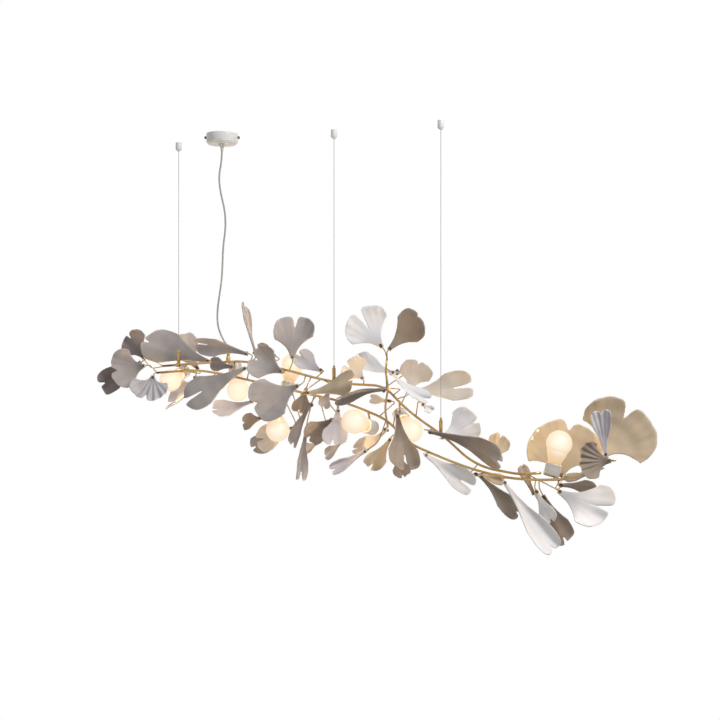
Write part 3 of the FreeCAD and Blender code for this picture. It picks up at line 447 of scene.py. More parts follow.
def porcelain(tone):
    """Matte biscuit porcelain with fine veins that fan out from the screw, in painted light and shade: the tone's
    lit colour, painted shade towards the screw and a painted highlight on the rim.
    """

    def make(name):
        material, tree, shader = blank(name)
        # The tone's painted lit colour and painted shaded colour.
        light, deep = PAINTED_LIGHT_SHADE_TONES[tone]
        grain = grain_in(tree, 14.0, 1400.0)
        leaf = add(tree, "ShaderNodeAttribute", attribute_name="fan")
        axes = add(tree, "ShaderNodeSeparateXYZ", {0: leaf.outputs["Vector"]})
        angle, reach, rim = axes.outputs
        wander = ranged(tree, grain.outputs["Cloud"], 0.0, 1.0, -0.25, 0.25)
        lines = maths(tree, "SINE", maths(tree, "MULTIPLY", maths(tree, "ADD", angle, wander), VEINS))
        lines = maths(tree, "MULTIPLY", lines, ranged(tree, rim, 0.15, 0.6, 0.0, 1.0))
        cloud = ranged(tree, grain.outputs["Cloud"], 0.3, 0.7, 0.0, 1.0)
        share = maths(tree, "MULTIPLY", cloud, 0.45)
        # Painted shade: towards the screw the colour runs to the tone's shaded colour.
        share = maths(tree, "ADD", share, ranged(tree, rim, 0.0, 0.75, 0.6, 0.0))
        share = maths(tree, "ADD", share, maths(tree, "MULTIPLY", lines, 0.03))
        body = mixed(tree, share, light, deep)
        # Painted highlight: the outermost rim turns paler, towards a near white.
        rim_highlight = ranged(tree, rim, 0.93, 1.0, 0.0, 0.22)
        tree.links.new(mixed(tree, rim_highlight, body, RIM_HIGHLIGHT), shader.inputs["Base Color"])
        rough = ranged(tree, grain.outputs["Grain"], 0.3, 0.7, 0.58, 0.74)
        tree.links.new(rough, shader.inputs["Roughness"])
        shader.inputs["Specular IOR Level"].default_value = 0.35
        height = maths(tree, "ADD", lines, grain.outputs["Grain"])
        height = maths(tree, "MULTIPLY", height, 0.5)
        link_normal(tree, shader, height, settings().vein_depth, 0.8)
        return material

    return material_once("porcelain_" + tone, make)


def brass(name, colour, rough, cloud_scale=30.0):
    """Polished metal with faint clouding, hairlines and handling marks."""

    def make(label):
        material, tree, shader = blank(label)
        grain = grain_in(tree, cloud_scale, 2200.0)
        deep = tuple(0.62 * c for c in colour)
        share = ranged(tree, grain.outputs["Cloud"], 0.35, 0.7, 0.0, 0.8)
        tree.links.new(mixed(tree, share, tuple(colour), deep), shader.inputs["Base Color"])
        shader.inputs["Metallic"].default_value = 1.0
        roughness = ranged(tree, grain.outputs["Grain"], 0.3, 0.7, rough * 0.8, rough * 1.3)
        tree.links.new(roughness, shader.inputs["Roughness"])
        link_normal(tree, shader, grain.outputs["Grain"], 0.03 * MM, 0.5)
        return material

    return material_once(name, make)


def main_brass():
    """The branch's own brass."""
    return brass("polished_brass", settings().brass_colour, 0.20)


def coated(name, colour, rough, grain_scale=1200.0, depth=0.02 * MM, coat=0.0):
    """Enamel, glaze, nylon or sheath: one colour with slow clouding and a fine surface."""

    def make(label):
        material, tree, shader = blank(label)
        grain = grain_in(tree, 25.0, grain_scale)
        share = ranged(tree, grain.outputs["Cloud"], 0.3, 0.7, 0.0, 1.0)
        deep = tuple(0.88 * c for c in colour)
        tree.links.new(mixed(tree, share, tuple(colour), deep), shader.inputs["Base Color"])
        roughness = ranged(tree, grain.outputs["Grain"], 0.3, 0.7, rough * 0.85, rough * 1.15)
        tree.links.new(roughness, shader.inputs["Roughness"])
        shader.inputs["Coat Weight"].default_value = coat
        link_normal(tree, shader, grain.outputs["Grain"], depth, 0.6)
        return material

    return material_once(name, make)


OPAL_HEART = (1.0, 0.92, 0.74)
OPAL_EDGE = (0.76, 0.45, 0.19)


def opal_glass(node, centre, axis):
    """Lit opal glass: near white in the middle, amber round its edge and at its neck."""
    material, tree, shader = blank("opal_" + node)
    place = add(tree, "ShaderNodeTexCoord").outputs["Object"]
    offset = add(tree, "ShaderNodeVectorMath", {0: place, 1: tuple(centre)}, operation="SUBTRACT").outputs[0]
    along = add(tree, "ShaderNodeVectorMath", {0: offset, 1: tuple(axis)}, operation="DOT_PRODUCT")
    grain = grain_in(tree, 40.0, 700.0)
    neck = ranged(tree, along.outputs["Value"], -48 * MM, -8 * MM, 0.0, 1.0)
    facing = add(tree, "ShaderNodeLayerWeight", {"Blend": 0.5}).outputs["Facing"]
    middle = maths(tree, "SUBTRACT", 1.0, maths(tree, "MULTIPLY", facing, 0.9))
    uneven = ranged(tree, grain.outputs["Cloud"], 0.3, 0.7, 0.94, 1.0)
    glow = maths(tree, "MULTIPLY", maths(tree, "MULTIPLY", neck, middle), uneven)
    tree.links.new(mixed(tree, glow, OPAL_EDGE, OPAL_HEART), shader.inputs["Emission Color"])
    shader.inputs["Emission Strength"].default_value = 0.88
    shader.inputs["Base Color"].default_value = (0.22, 0.20, 0.17, 1.0)
    shader.inputs["Roughness"].default_value = 0.25
    shader.inputs["Coat Weight"].default_value = 0.2
    shader.inputs["Coat Roughness"].default_value = 0.08
    return material


# ---------------------------------------------------------------- leaves


def screw_axes():
    """Each CAD leaf screw: a point on its axis, the way to its head, and how far its head reaches."""
    found = []
    for corners, _ in solids_of("leaf_screws"):
        centre = (corners.min(axis=0) + corners.max(axis=0)) / 2
        axis = np.linalg.svd(corners - corners.mean(axis=0), full_matrices=False)[2][0]
        along = (corners - centre) @ axis
        radius = np.linalg.norm(corners - centre - np.outer(along, axis), axis=1)
        wide = radius > 0.8 * radius.max()
        if along[wide].mean() < 0:
            axis = -axis
            along = -along
        middle = corners[wide].mean(axis=0) - axis * along[wide].mean()
        found.append((Vector(middle), Vector(axis), float(along.max())))
    return found


def remeshed(name, corners, triangles, step):
    """An even skin over one leaf, with its rim rounded."""
    mesh = bpy.data.meshes.new(name)
    mesh.from_pydata(corners.tolist(), [], triangles)
    piece = new_object(name, mesh)
    grid = piece.modifiers.new("clay", "REMESH")
    grid.mode = "VOXEL"
    grid.voxel_size = step
    soft = piece.modifiers.new("soften", "SMOOTH")
    soft.factor = 0.5
    soft.iterations = 4
    return applied(piece)


def own_screw(points, screws, tree):
    """The screw that goes through a leaf: the one nearest to any of its points."""
    some = points[:: max(1, len(points) // 400)]
    nearest = min((tree.find(Vector(p))[1:] for p in some), key=lambda found: found[1])
    return screws[nearest[0]]


def fan_coordinates(points, origin, axis):
    """Angle about the leaf's screw, distance from it and share of the way to the rim, for each point."""
    offset = points - origin
    ahead = offset.mean(axis=0)
    ahead -= axis * (ahead @ axis)
    ahead /= np.linalg.norm(ahead)
    side = np.cross(axis, ahead)
    angle = np.arctan2(offset @ side, offset @ ahead)
    reach = np.linalg.norm(offset, axis=1)
    count = 180
    slots = np.clip(((angle + math.pi) / (2 * math.pi) * count).astype(int), 0, count - 1)
    rim = np.zeros(count)
    np.maximum.at(rim, slots, reach)
    rim = np.maximum(rim, np.maximum(np.roll(rim, 1), np.roll(rim, -1)))
    share = reach / np.maximum(rim[slots], 1e-4)
    return np.stack([angle, reach, share], axis=1)


def vertex_array(source, key, count):
    """A vector property of a mesh's vertices as an array."""
    values = np.empty(count * 3)
    source.foreach_get(key, values)
    return values.reshape(-1, 3)


RIM_FROM, RIM_BAND = 0.72, 0.28  # share of the way to the rim where a leaf starts to draw in, and the rest
EDGE_ON = 0.25  # below this share of the axis a normal belongs to the rim, which keeps its own
LEAN_MOST = 0.75


def folded_normals(normals, axis, fan, ways, seed):
    """Normals whose cupping goes further than the mould's and has soft flutes; the rim's stay."""
    ahead, across = ways
    facing = normals @ axis
    turned = normals.copy()
    for side in (1.0, -1.0):
        face = facing * side > EDGE_ON
        middle = normals[face].mean(axis=0)
        middle /= np.linalg.norm(middle)
        lean = (settings().fold_gain - 1.0) * (normals[face] - middle)
        angle, reach, share = fan[face].T
        flute = 0.16 * np.clip(share, 0, 1) * np.cos(6.0 * angle + seed)
        swell = 0.15 * np.cos(48.0 * reach + 1.3 * seed)
        lean -= side * (flute[:, None] * across[face] + swell[:, None] * ahead[face])
        lean *= np.minimum(1.0, LEAN_MOST / np.maximum(np.linalg.norm(lean, axis=1, keepdims=True), 1e-6))
        turned[face] += lean * np.clip((facing[face] * side - EDGE_ON) / 0.35, 0, 1)[:, None]
    return turned / np.linalg.norm(turned, axis=1, keepdims=True)


def shaped_leaf(name, corners, triangles, screws, tree, seed):
    """One porcelain leaf: even skin, hand unevenness, uneven rim, fan coordinates and folds."""
    chosen = settings()
    coarser = 1.0
    piece = remeshed(name, corners, triangles, chosen.clay_step * coarser)
    mesh = piece.data
    points = vertex_array(mesh.vertices, "co", len(mesh.vertices))
    normals = vertex_array(mesh.vertex_normals, "vector", len(mesh.vertices))
    origin, axis = (np.array(part) for part in own_screw(points, screws, tree)[:2])
    fan = fan_coordinates(points, origin, axis)
    angle, reach, share = fan.T
    ruffle = np.sin(angle * 15.0 + seed) + 0.6 * np.sin(angle * 29.0 + 2.0 * seed)
    rise = chosen.clay_uneven * ruffle * np.clip(share, 0, 1) ** 3
    rise += chosen.clay_uneven * 0.5 * np.sin(reach * 160.0 + 1.7 * seed)
    facing = np.sign(normals @ axis)  # both faces move the same way
    ahead = points - origin
    ahead /= np.maximum(np.linalg.norm(ahead, axis=1, keepdims=True), 1e-6)
    wave = 0.5 + 0.3 * np.sin(angle * 11.0 + 2.3 * seed) + 0.2 * np.sin(angle * 23.0 + seed)
    inward = chosen.rim_nibble * wave * np.clip((share - RIM_FROM) / RIM_BAND, 0, 1) ** 2
    points = points + normals * (facing * rise)[:, None] - ahead * inward[:, None]
    mesh.vertices.foreach_set("co", points.ravel())
    stored = mesh.attributes.new("fan", "FLOAT_VECTOR", "POINT")
    stored.data.foreach_set("vector", fan.astype(np.float32).ravel())
    mesh.update()
    mesh.shade_smooth()
    normals = vertex_array(mesh.vertex_normals, "vector", len(mesh.vertices))
    folded = folded_normals(normals, axis, fan, (ahead, np.cross(axis, ahead)), seed)
    mesh.normals_split_custom_set_from_vertices(folded.tolist())
    return piece


class CHANDELIER_OT_leaves(bpy.types.Operator):
    """Make every porcelain leaf"""

    bl_idname = "chandelier.leaves"
    bl_label = "Porcelain leaves"

    def execute(self, context):
        screws = screw_axes()
        tree = kdtree.KDTree(len(screws))
        for number, screw in enumerate(screws):
            tree.insert(screw[0], number)
        tree.balance()
        seed = 0.0
        for node in LEAF_NODES:
            solids = solids_of(node)
            tones = LEAF_PAINTED_LIGHT_SHADE_TONES[node]
            if len(solids) != len(tones):
                raise RuntimeError(f"{node} has {len(solids)} leaves and {len(tones)} tones")
            for number, ((corners, triangles), tone) in enumerate(zip(solids, tones), start=1):
                seed += SEED_STEP
                name = f"{node}_porcelain_{number}"
                piece = shaped_leaf(name, corners, triangles, screws, tree, seed)
                finished(piece, node, porcelain(tone))
                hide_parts(node)
        return {"FINISHED"}


# ---------------------------------------------------------------- leaf screws and nuts


def knob_master():
    """Screw with a knurled, chamfered and dished knob; head end at local z = 0, shank below."""
    teeth = 18
    head_radius = 3.5 * MM
    head_high = 3.2 * MM
    shank = 1.5 * MM
    shank_long = 13.5 * MM
    work = bmesh.new()
    turns = [math.pi * k / teeth for k in range(2 * teeth)]
    rings = []
    levels = ((-1.0, 0.94, 1), (-0.8, 1.0, 1), (-0.3, 1.0, 1), (0.0, 0.80, 0))
    for level, scale, ripple in levels:
        ring = []
        for k, turn in enumerate(turns):
            radius = head_radius * scale * (1 - 0.06 * ripple * (k % 2))
            corner = (radius * math.cos(turn), radius * math.sin(turn), level * head_high)
            ring.append(work.verts.new(corner))
        rings.append(ring)
    dish = [work.verts.new((v.co.x * 0.55, v.co.y * 0.55, -0.12 * head_high)) for v in rings[-1]]
    neck = [work.verts.new((shank * math.cos(a), shank * math.sin(a), -head_high)) for a in turns]
    foot = [work.verts.new((v.co.x, v.co.y, -shank_long)) for v in neck]
    for low, high in zip((foot, neck, *rings), (neck, *rings, dish)):
        band(work, low, high)
    work.faces.new(dish)
    work.faces.new(list(reversed(foot)))
    bmesh.ops.recalc_face_normals(work, faces=work.faces)
    return mesh_of("knob_master", work)


def scatter_tree(name, master, material):
    """Geometry Nodes: one master on every point, turned to the point's axis, then made real."""
    tree = bpy.data.node_groups.new(name, "GeometryNodeTree")
    tree.interface.new_socket("Geometry", in_out="INPUT", socket_type="NodeSocketGeometry")
    size_in = tree.interface.new_socket("Scale", in_out="INPUT", socket_type="NodeSocketFloat")
    size_in.default_value = 1.0
    tree.interface.new_socket("Geometry", in_out="OUTPUT", socket_type="NodeSocketGeometry")
    given = tree.nodes.new("NodeGroupInput")
    out = tree.nodes.new("NodeGroupOutput")
    info = add(tree, "GeometryNodeObjectInfo", {"Object": master})
    axis = add(tree, "GeometryNodeInputNamedAttribute", {"Name": "axis"}, data_type="FLOAT_VECTOR")
    turn = add(tree, "FunctionNodeAlignRotationToVector", axis="Z")
    tree.links.new(axis.outputs[0], turn.inputs["Vector"])
    scatter = tree.nodes.new("GeometryNodeInstanceOnPoints")
    tree.links.new(given.outputs["Geometry"], scatter.inputs["Points"])
    tree.links.new(info.outputs["Geometry"], scatter.inputs["Instance"])
    tree.links.new(turn.outputs[0], scatter.inputs["Rotation"])
    tree.links.new(given.outputs["Scale"], scatter.inputs["Scale"])
    real = tree.nodes.new("GeometryNodeRealizeInstances")
    tree.links.new(scatter.outputs[0], real.inputs[0])
    paint = add(tree, "GeometryNodeSetMaterial", {"Material": material})
    tree.links.new(real.outputs[0], paint.inputs["Geometry"])
    tree.links.new(paint.outputs[0], out.inputs["Geometry"])
    return tree


def scattered(name, places, master_mesh, material):
    """Copies of a master mesh at (point, axis) places, as one plain mesh."""
    master = new_object(name + "_master", master_mesh)
    points = bpy.data.meshes.new(name)
    points.from_pydata([tuple(p) for p, _ in places], [], [])
    stored = points.attributes.new("axis", "FLOAT_VECTOR", "POINT")
    stored.data.foreach_set("vector", np.array([tuple(a) for _, a in places], np.float32).ravel())
    piece = new_object(name, points)
    repeat = piece.modifiers.new("repeat", "NODES")
    repeat.node_group = scatter_tree(name, master, material)
    applied(piece)
    bpy.data.objects.remove(master)
    return piece


class CHANDELIER_OT_fasteners(bpy.types.Operator):
    """Make the knurled leaf screws and dress their nuts"""

    bl_idname = "chandelier.fasteners"
    bl_label = "Leaf screws and nuts"

    def execute(self, context):
        dark = brass("blackened_brass", (0.13, 0.105, 0.09), 0.34)
        places = [(centre + axis * high, axis) for centre, axis, high in screw_axes()]
        piece = smooth(scattered("leaf_screws_knurled", places, knob_master(), dark), 30.0)
        finished(piece, "leaf_screws", dark)
        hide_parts("leaf_screws")
        dressed("leaf_nuts", dark, 25.0)
        return {"FINISHED"}


# ---------------------------------------------------------------- rods, twigs and fittings


class CHANDELIER_OT_branch(bpy.types.Operator):
    """Dress the brass rods, twigs, arms and glands, and turn the cable grippers"""

    bl_idname = "chandelier.branch"
    bl_label = "Brass branch"

    def execute(self, context):
        for node in ("rod_upper", "rod_lower", "centre_post", "lamp_arms", "branch_gland", "gripper_collars"):
            dressed(node, main_brass())
        for node in ("twigs_left", "twigs_middle", "twigs_right"):
            dressed(node, main_brass(), 40.0)
        for number, (corners, _) in enumerate(solids_of("grippers"), start=1):
            low, high = corners.min(axis=0), corners.max(axis=0)
            work = lathe(self.gripper_profile(high[2] - low[2]), 36)
            middle = ((low[0] + high[0]) / 2, (low[1] + high[1]) / 2, low[2])
            bmesh.ops.translate(work, vec=middle, verts=work.verts)
            piece = piece_of(f"gripper_{number}_turned", work, 30.0)
            finished(piece, "grippers", main_brass())
            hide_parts("grippers")
        return {"FINISHED"}

    def gripper_profile(self, whole):
        """Spigot, shouldered body with a grooved grip, release collar and nose, from the foot up."""
        bore, spigot, body, nose = 1.0 * MM, 2.6 * MM, 4.5 * MM, 2.75 * MM
        depth = 0.45 * MM
        foot = whole - 38 * MM
        points = [
            (bore, 0.0), (spigot, 0.0), (spigot, foot), (body - 0.4 * MM, foot), (body, foot + 0.4 * MM),
        ]
        for groove in range(5):
            start = foot + (3.0 + 1.6 * groove) * MM
            points += [
                (body, start), (body - depth, start + 0.35 * MM), (body - depth, start + 0.7 * MM),
                (body, start + 1.05 * MM),
            ]
        points += [
            (body, whole - 9 * MM), (body - 0.5 * MM, whole - 8.6 * MM), (body - 0.5 * MM, whole - 8.0 * MM),
            (body, whole - 7.6 * MM), (body, whole - 7 * MM), (nose, whole - 5.5 * MM),
            (nose, whole - 0.5 * MM), (nose - 0.5 * MM, whole), (bore, whole), (bore, 0.0),
        ]
        return points


# ---------------------------------------------------------------- lamps


def bulb_place(node):
    """Globe centre and axis of a CAD bulb: the axis is its joint's, the centre is from its extent."""
    axis = JOINT_AXIS[node]
    corners = np.array([v.co for v in NODES[node].data.vertices])
    along = corners @ np.array(axis)
    side = np.array(axis.orthogonal().normalized())
    other = np.cross(np.array(axis), side)
    middle = np.zeros(3)
    for way in (side, other):
        reach = corners @ way
        middle += way * (reach.max() + reach.min()) / 2
    radius = (np.ptp(corners @ side)) / 2
    centre = middle + np.array(axis) * (along.max() - radius)
    return Vector(centre), axis, radius, along.max() - along.min()


def globe_profile(radius, reach, neck):
    """Half outline of the opal globe, from its top to the mouth of its cap."""
    blend = math.radians(-38)  # where the ball runs into the neck
    points = []
    steps = 26
    neck_steps = 12
    for k in range(steps + 1):
        turn = math.pi / 2 + (blend - math.pi / 2) * k / steps
        points.append((radius * math.cos(turn), radius * math.sin(turn)))
    points[0] = (0.0, radius)
    start_r, start_z = points[-1]
    low = radius - reach
    for k in range(1, neck_steps + 1):
        share = k / neck_steps
        ease = share * share * (3 - 2 * share)
        points.append((start_r + (neck - start_r) * ease, start_z + (low - start_z) * share))
    return points


class CHANDELIER_OT_lamps(bpy.types.Operator):
    """Make the opal globes with their screw caps, the lampholders and their lights"""

    bl_idname = "chandelier.lamps"
    bl_label = "Lamps"

    globe_reach: bpy.props.FloatProperty(
        name="Globe reach", description="Globe top to its cap", default=78 * MM, subtype="DISTANCE",
    )
    neck_radius: bpy.props.FloatProperty(
        name="Neck radius", description="Globe at its cap", default=15 * MM, subtype="DISTANCE",
    )

    def execute(self, context):
        cap_metal = brass("nickel_cap", (0.62, 0.60, 0.57), 0.28)
        for node in BULB_NODES:
            centre, axis, radius, whole = bulb_place(node)
            place = placed_along(centre, axis)
            glass = opal_glass(node, centre, axis)
            outline = globe_profile(radius, self.globe_reach, self.neck_radius)
            globe = self.turned(node + "_globe", outline, 64, place, 60.0, node, glass)
            globe.visible_shadow = False  # the lamp inside has to light its neighbours
            outline = self.cap_profile(radius - self.globe_reach, radius - whole)
            self.turned(node + "_cap", outline, 40, place, 50.0, node, cap_metal)
            self.light(node, centre, radius)
        self.holders()
        return {"FINISHED"}

    def turned(self, name, profile, segments, place, angle, node, material):
        """A body of revolution at its place, which stands for a CAD node."""
        work = lathe(profile, segments)
        bmesh.ops.transform(work, matrix=place, verts=work.verts)
        piece = piece_of(name, work, angle)
        finished(piece, node, material)
        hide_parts(node)
        return piece

    def cap_profile(self, top, end):
        """Rolled shell with five thread rounds and a contact at its end."""
        thread = 12.2 * MM
        crest = 13.0 * MM
        points = [
            (0.0, top + 0.4 * MM), (14.2 * MM, top + 0.4 * MM), (crest, top - 1.4 * MM),
            (thread, top - 2.0 * MM),
        ]
        pitch = 3.4 * MM
        for number in range(5):
            start = top - 2.4 * MM - number * pitch
            points += [
                (thread, start), (crest, start - 0.9 * MM), (crest, start - 1.6 * MM),
                (thread, start - 2.6 * MM),
            ]
        points += [
            (thread, end + 4.4 * MM), (5.0 * MM, end + 1.2 * MM), (4.4 * MM, end + 0.2 * MM), (0.0, end),
        ]
        return points

    def light(self, node, centre, radius):
        """The lamp's light, which rides with its globe."""
        data = bpy.data.lights.new(node + "_light", "POINT")
        data.energy = settings().glow_power
        data.color = settings().glow_colour
        data.shadow_soft_size = 0.9 * radius
        lamp = new_object(node + "_light", data)
        lamp.location = centre
        lamp.visible_camera = False
        lamp.visible_glossy = False
        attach(lamp, node)

    def holders(self):
        """Porcelain cups with a beaded mouth and two grooves, each on a brass base ring."""
        glaze = coated("holder_glaze", (0.62, 0.60, 0.57), 0.30, 600.0, 0.02 * MM, 0.35)
        for number, node in enumerate(BULB_NODES, start=1):
            centre, axis, radius, whole = bulb_place(node)
            place = placed_along(centre, axis)
            top = radius - self.globe_reach - 0.6 * MM
            end = radius - whole - 7 * MM
            for label, profile, material in (
                ("cup", self.cup_profile(top, end), glaze), ("ring", self.ring_profile(end), main_brass()),
            ):
                name = f"lampholder_{number}_{label}"
                self.turned(name, profile, 56, place, 40.0, "lampholders", material)

    def cup_profile(self, top, end):
        """Outside from the base ring up to the beaded mouth, then the bore down to the floor."""
        bead, bore = 19 * MM, 13.8 * MM
        side = bead - 0.6 * MM
        groove = side - 0.5 * MM
        points = [(0.0, end + 3.4 * MM), (bead - 1.2 * MM, end + 3.4 * MM), (side, end + 4.2 * MM)]
        for above in (8.0, 11.0):
            start = end + above * MM
            points += [
                (side, start), (groove, start + 0.4 * MM), (groove, start + 0.9 * MM),
                (side, start + 1.3 * MM),
            ]
        points += [
            (side, top - 4.2 * MM), (bead, top - 3.6 * MM), (bead, top - 1.6 * MM),
            (bead - 0.5 * MM, top - 0.5 * MM), (bead - 1.6 * MM, top), (bore + 0.6 * MM, top),
            (bore, top - 0.6 * MM), (bore, end + 5 * MM), (0.0, end + 5 * MM),
        ]
        return points

    def ring_profile(self, end):
        """Brass base ring under the cup."""
        outer = 19 * MM
        return [
            (0.0, end), (outer - 3.4 * MM, end), (outer - 1.0 * MM, end + 1.0 * MM),
            (outer - 0.8 * MM, end + 2.6 * MM), (outer - 1.6 * MM, end + 3.4 * MM), (0.0, end + 3.4 * MM),
        ]


# ---------------------------------------------------------------- cables and cord


def tube_round(points, radius, sides):
    """Round tube with closed ends along points, as a bmesh."""
    work = bmesh.new()
    rings = []
    up = Vector((0.3, 1.0, 0.2)).normalized()
    for k, point in enumerate(points):
        before = points[max(0, k - 1)]
        after = points[min(len(points) - 1, k + 1)]
        way = (after - before).normalized()
        side = up.cross(way).normalized()
        other = way.cross(side)
        ring = []
        for s in range(sides):
            turn = 2 * math.pi * s / sides
            offset = side * math.cos(turn) + other * math.sin(turn)
            ring.append(work.verts.new(point + radius * offset))
        rings.append(ring)
    for low, high in zip(rings, rings[1:]):
        band(work, low, high)
    work.faces.new(rings[0])
    work.faces.new(rings[-1])
    bmesh.ops.recalc_face_normals(work, faces=work.faces)
    return work


def spline_points(name, route, resolution):
    """Points along the NURBS line through a route, as Blender's own curve gives them."""
    curve = bpy.data.curves.new(name, "CURVE")
    curve.dimensions = "3D"
    spline = curve.splines.new("NURBS")
    spline.points.add(len(route) - 1)
    for point, co in zip(spline.points, route):
        point.co = (*co, 1.0)
    spline.order_u = 3
    spline.use_endpoint_u = True
    curve.resolution_u = resolution
    carrier = new_object(name, curve)
    mesh = evaluated_mesh(carrier)
    points = [v.co.copy() for v in mesh.vertices]
    bpy.data.objects.remove(carrier)
    bpy.data.meshes.remove(mesh)
    return points


class CHANDELIER_OT_suspension(bpy.types.Operator):
    """Lay up the three stranded cables"""

    bl_idname = "chandelier.suspension"
    bl_label = "Suspension cables"

    strands: bpy.props.IntProperty(name="Strands", description="Strands round the core", default=6, min=3)
    lay: bpy.props.FloatProperty(
        name="Lay", description="Length of one turn of a strand", default=11 * MM, subtype="DISTANCE",
    )

    def execute(self, context):
        steel = brass("stranded_steel", (0.34, 0.34, 0.335), 0.38, 60.0)
        for node in ("cable_left", "cable_middle", "cable_right"):
            low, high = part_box(node)
            x, y = (low.x + high.x) / 2, (low.y + high.y) / 2
            radius = settings().cable_diameter / 2
            route = [Vector((x, y, low.z + (high.z - low.z) * k / 4)) for k in range(5)]
            line = spline_points(node + "_line", route, 12)
            work = tube_round([line[0], line[-1]], 0.62 * radius, 8)
            self.wind(work, line, radius)
            swage = lathe([
                (0.0, 0.0), (1.4 * MM, 0.15 * MM), (2.0 * MM, 1.2 * MM), (2.0 * MM, 2.8 * MM),
                (1.4 * MM, 3.85 * MM), (0.0, 4 * MM),
            ], 24)
            bmesh.ops.translate(swage, vec=(x, y, high.z - 4 * MM), verts=swage.verts)
            end = piece_of(node + "_swage", swage, 50.0)
            finished(end, node, brass("swage_steel", (0.55, 0.55, 0.54), 0.3))
            piece = piece_of(node + "_strands", work, 60.0)
            finished(piece, node, steel)
            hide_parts(node)
        return {"FINISHED"}

    def wind(self, work, line, radius):
        """Strands wound round the cable's line."""
        start, end = line[0], line[-1]
        long = (end - start).length
        thick = 0.34 * radius
        middle = radius - thick
        steps = int(long / self.lay * 12)
        for strand in range(self.strands):
            points = []
            for k in range(steps + 1):
                share = k / steps
                turn = 2 * math.pi * (strand / self.strands + share * long / self.lay)
                at = start.lerp(end, share)
                points.append(at + Vector((middle * math.cos(turn), middle * math.sin(turn), 0)))
            made = tube_round(points, thick, 5)
            mesh = mesh_of("strand", made)
            work.from_mesh(mesh)
            bpy.data.meshes.remove(mesh)


class CHANDELIER_OT_cord(bpy.types.Operator):
    """Run the power cord from the ceiling rose to the branch"""

    bl_idname = "chandelier.cord"
    bl_label = "Power cord"

    def execute(self, context):
        mouth = self.lower_end()
        route = CORD_ROUTE + [tuple(mouth + Vector((0, 0, 14 * MM))), tuple(mouth)]
        line = spline_points("power_cord_line", route, 8)
        radius = settings().cord_diameter / 2
        piece = piece_of("power_cord_sheath", tube_round(line, radius, 20), 60.0)
        sheath = coated("cord_sheath", (0.42, 0.40, 0.385), 0.55, 2600.0, 0.06 * MM)
        piece.data.materials.append(sheath)
        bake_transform(piece)
        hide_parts("power_cord")
        return {"FINISHED"}

    def lower_end(self):
        """Where the CAD cord ends in the branch's gland."""
        corners = np.array([v.co for v in NODES["power_cord"].data.vertices])
        lowest = corners[corners[:, 2] < corners[:, 2].min() + 1e-5]
        return Vector((lowest.min(axis=0) + lowest.max(axis=0)) / 2)


# ---------------------------------------------------------------- ceiling fittings


class CHANDELIER_OT_ceiling(bpy.types.Operator):
    """Dress the ceiling rose, its bracket and the cable anchors"""

    bl_idname = "chandelier.ceiling"
    bl_label = "Ceiling fittings"

    def execute(self, context):
        enamel = coated("satin_enamel", (0.80, 0.80, 0.79), 0.38, 1500.0, 0.015 * MM, 0.15)
        zinc = brass("zinc_plate", (0.55, 0.56, 0.57), 0.36, 45.0)
        for node in ("ceiling_rose", "anchor_bases", "anchor_caps", "cord_gland"):
            dressed(node, enamel, 30.0)
        dressed("rose_bracket", zinc, 30.0)
        dressed("rose_screws", brass("blackened_brass", (0.13, 0.105, 0.09), 0.34), 30.0)
        dressed("terminal_block", coated("nylon_block", (0.80, 0.79, 0.75), 0.5, 500.0), 30.0)
        return {"FINISHED"}


# ---------------------------------------------------------------- stage


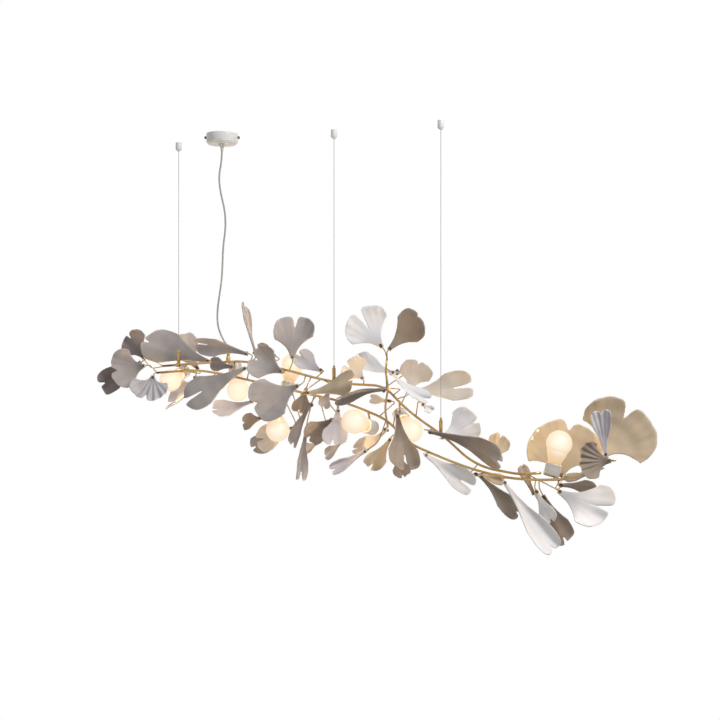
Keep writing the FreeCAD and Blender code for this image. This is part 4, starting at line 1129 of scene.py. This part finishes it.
class CHANDELIER_OT_stage(bpy.types.Operator):
    """Set the floor, the light and the camera"""

    bl_idname = "chandelier.stage"
    bl_label = "Stage"

    def execute(self, context):
        self.camera()
        self.world()
        self.floor()
        self.lights()
        context.scene.view_settings.view_transform = "Standard"
        return {"FINISHED"}

    def camera(self):
        """Level, square on, at the photograph's distance."""
        data = bpy.data.cameras.new("camera")
        data.lens = 55.0
        data.sensor_width = 36.0
        eye = new_object("camera", data)
        eye.location = (0.351, -2.8, -0.575)
        eye.rotation_euler = (math.radians(90), 0, 0)
        bpy.context.scene.camera = eye

    def seen_white(self, tree):
        """One where the camera, a gloss or a glass looks, and zero elsewhere."""
        path = tree.nodes.new("ShaderNodeLightPath")
        seen = maths(tree, "MAXIMUM", path.outputs["Is Camera Ray"], path.outputs["Is Glossy Ray"])
        return maths(tree, "MAXIMUM", seen, path.outputs["Is Transmission Ray"])

    def shown_white(self, tree, lit, white, out_kind):
        """The tree's output: white where it is seen, and its own light elsewhere."""
        inputs = {0: self.seen_white(tree), 1: lit.outputs[0], 2: white.outputs[0]}
        choose = add(tree, "ShaderNodeMixShader", inputs)
        out = tree.nodes.new(out_kind)
        tree.links.new(choose.outputs[0], out.inputs[0])

    def world(self):
        """Soft light, stronger from above, and a white background."""
        world = bpy.data.worlds.new("studio")
        bpy.context.scene.world = world
        world.use_nodes = True
        tree = world.node_tree
        tree.nodes.clear()
        way = add(tree, "ShaderNodeSeparateXYZ", {0: add(tree, "ShaderNodeTexCoord").outputs["Generated"]})
        strength = ranged(tree, way.outputs["Z"], -0.4, 1.0, 0.08, 0.62)
        dim = add(tree, "ShaderNodeBackground", {"Color": (0.97, 0.97, 1.0, 1.0), "Strength": strength})
        white = add(tree, "ShaderNodeBackground", {"Color": (1, 1, 1, 1), "Strength": 1.0})
        self.shown_white(tree, dim, white, "ShaderNodeOutputWorld")

    def floor(self):
        """Pale floor well below the branch."""
        low, high = CAD_BOX
        depth = low.z - 0.85
        half = 6.0
        centre = (low + high) / 2
        work = bmesh.new()
        square = ((-half, -half), (half, -half), (half, half), (-half, half))
        work.faces.new([work.verts.new((centre.x + x, centre.y + y, depth)) for x, y in square])
        floor = new_object("floor", mesh_of("floor", work))
        material = bpy.data.materials.new("pale_floor")
        material.use_nodes = True
        tree = material.node_tree
        tree.nodes.clear()
        matte = add(tree, "ShaderNodeBsdfDiffuse", {"Color": (0.62, 0.60, 0.58, 1.0)})
        white = add(tree, "ShaderNodeEmission", {"Color": (1, 1, 1, 1), "Strength": 1.0})
        self.shown_white(tree, matte, white, "ShaderNodeOutputMaterial")
        floor.data.materials.append(material)

    def area(self, name, place, target, size, power, colour):
        """A soft box aimed at a point."""
        data = bpy.data.lights.new(name, "AREA")
        data.shape = "RECTANGLE"
        data.size, data.size_y = size
        data.energy = power
        data.color = colour
        box = new_object(name, data)
        box.location = place
        box.rotation_euler = (Vector(target) - Vector(place)).to_track_quat("-Z", "Y").to_euler()

    def lights(self):
        """A broad key from above right and a weaker fill from the left."""
        centre = (CAD_BOX[0] + CAD_BOX[1]) / 2
        aim = (centre.x, centre.y, -0.65)
        self.area("key", (centre.x + 1.5, -1.6, 0.9), aim, (1.1, 1.1), 46.0, (1.0, 0.985, 0.97))
        self.area("fill", (centre.x - 2.0, -1.8, 0.6), aim, (1.4, 1.8), 5.0, (0.95, 0.97, 1.0))


class CHANDELIER_PT_panel(bpy.types.Panel):
    """The pieces, in the order in which they are made"""

    bl_label = "Branch chandelier"
    bl_idname = "CHANDELIER_PT_panel"
    bl_space_type = "VIEW_3D"
    bl_region_type = "UI"
    bl_category = "Chandelier"

    def draw(self, context):
        column = self.layout.column()
        for name in ChandelierSettings.__annotations__:
            column.prop(context.scene.chandelier, name)
        for operator in OPERATORS:
            column.operator(operator.bl_idname)


OPERATORS = (
    CHANDELIER_OT_stage,
    CHANDELIER_OT_cord,
    CHANDELIER_OT_suspension,
    CHANDELIER_OT_leaves,
    CHANDELIER_OT_fasteners,
    CHANDELIER_OT_branch,
    CHANDELIER_OT_lamps,
    CHANDELIER_OT_ceiling,
)
CLASSES = (ChandelierSettings, *OPERATORS, CHANDELIER_PT_panel)


def register():
    """Register the classes and the scene's settings."""
    for made in CLASSES:
        bpy.utils.register_class(made)
    bpy.types.Scene.chandelier = bpy.props.PointerProperty(type=ChandelierSettings)


def unregister():
    """Undo register."""
    del bpy.types.Scene.chandelier
    for made in reversed(CLASSES):
        bpy.utils.unregister_class(made)


def main():
    """Make every piece in order."""
    register()
    for operator in OPERATORS:
        group, name = operator.bl_idname.split(".")
        getattr(getattr(bpy.ops, group), name)()


if __name__ == "__main__":
    main()
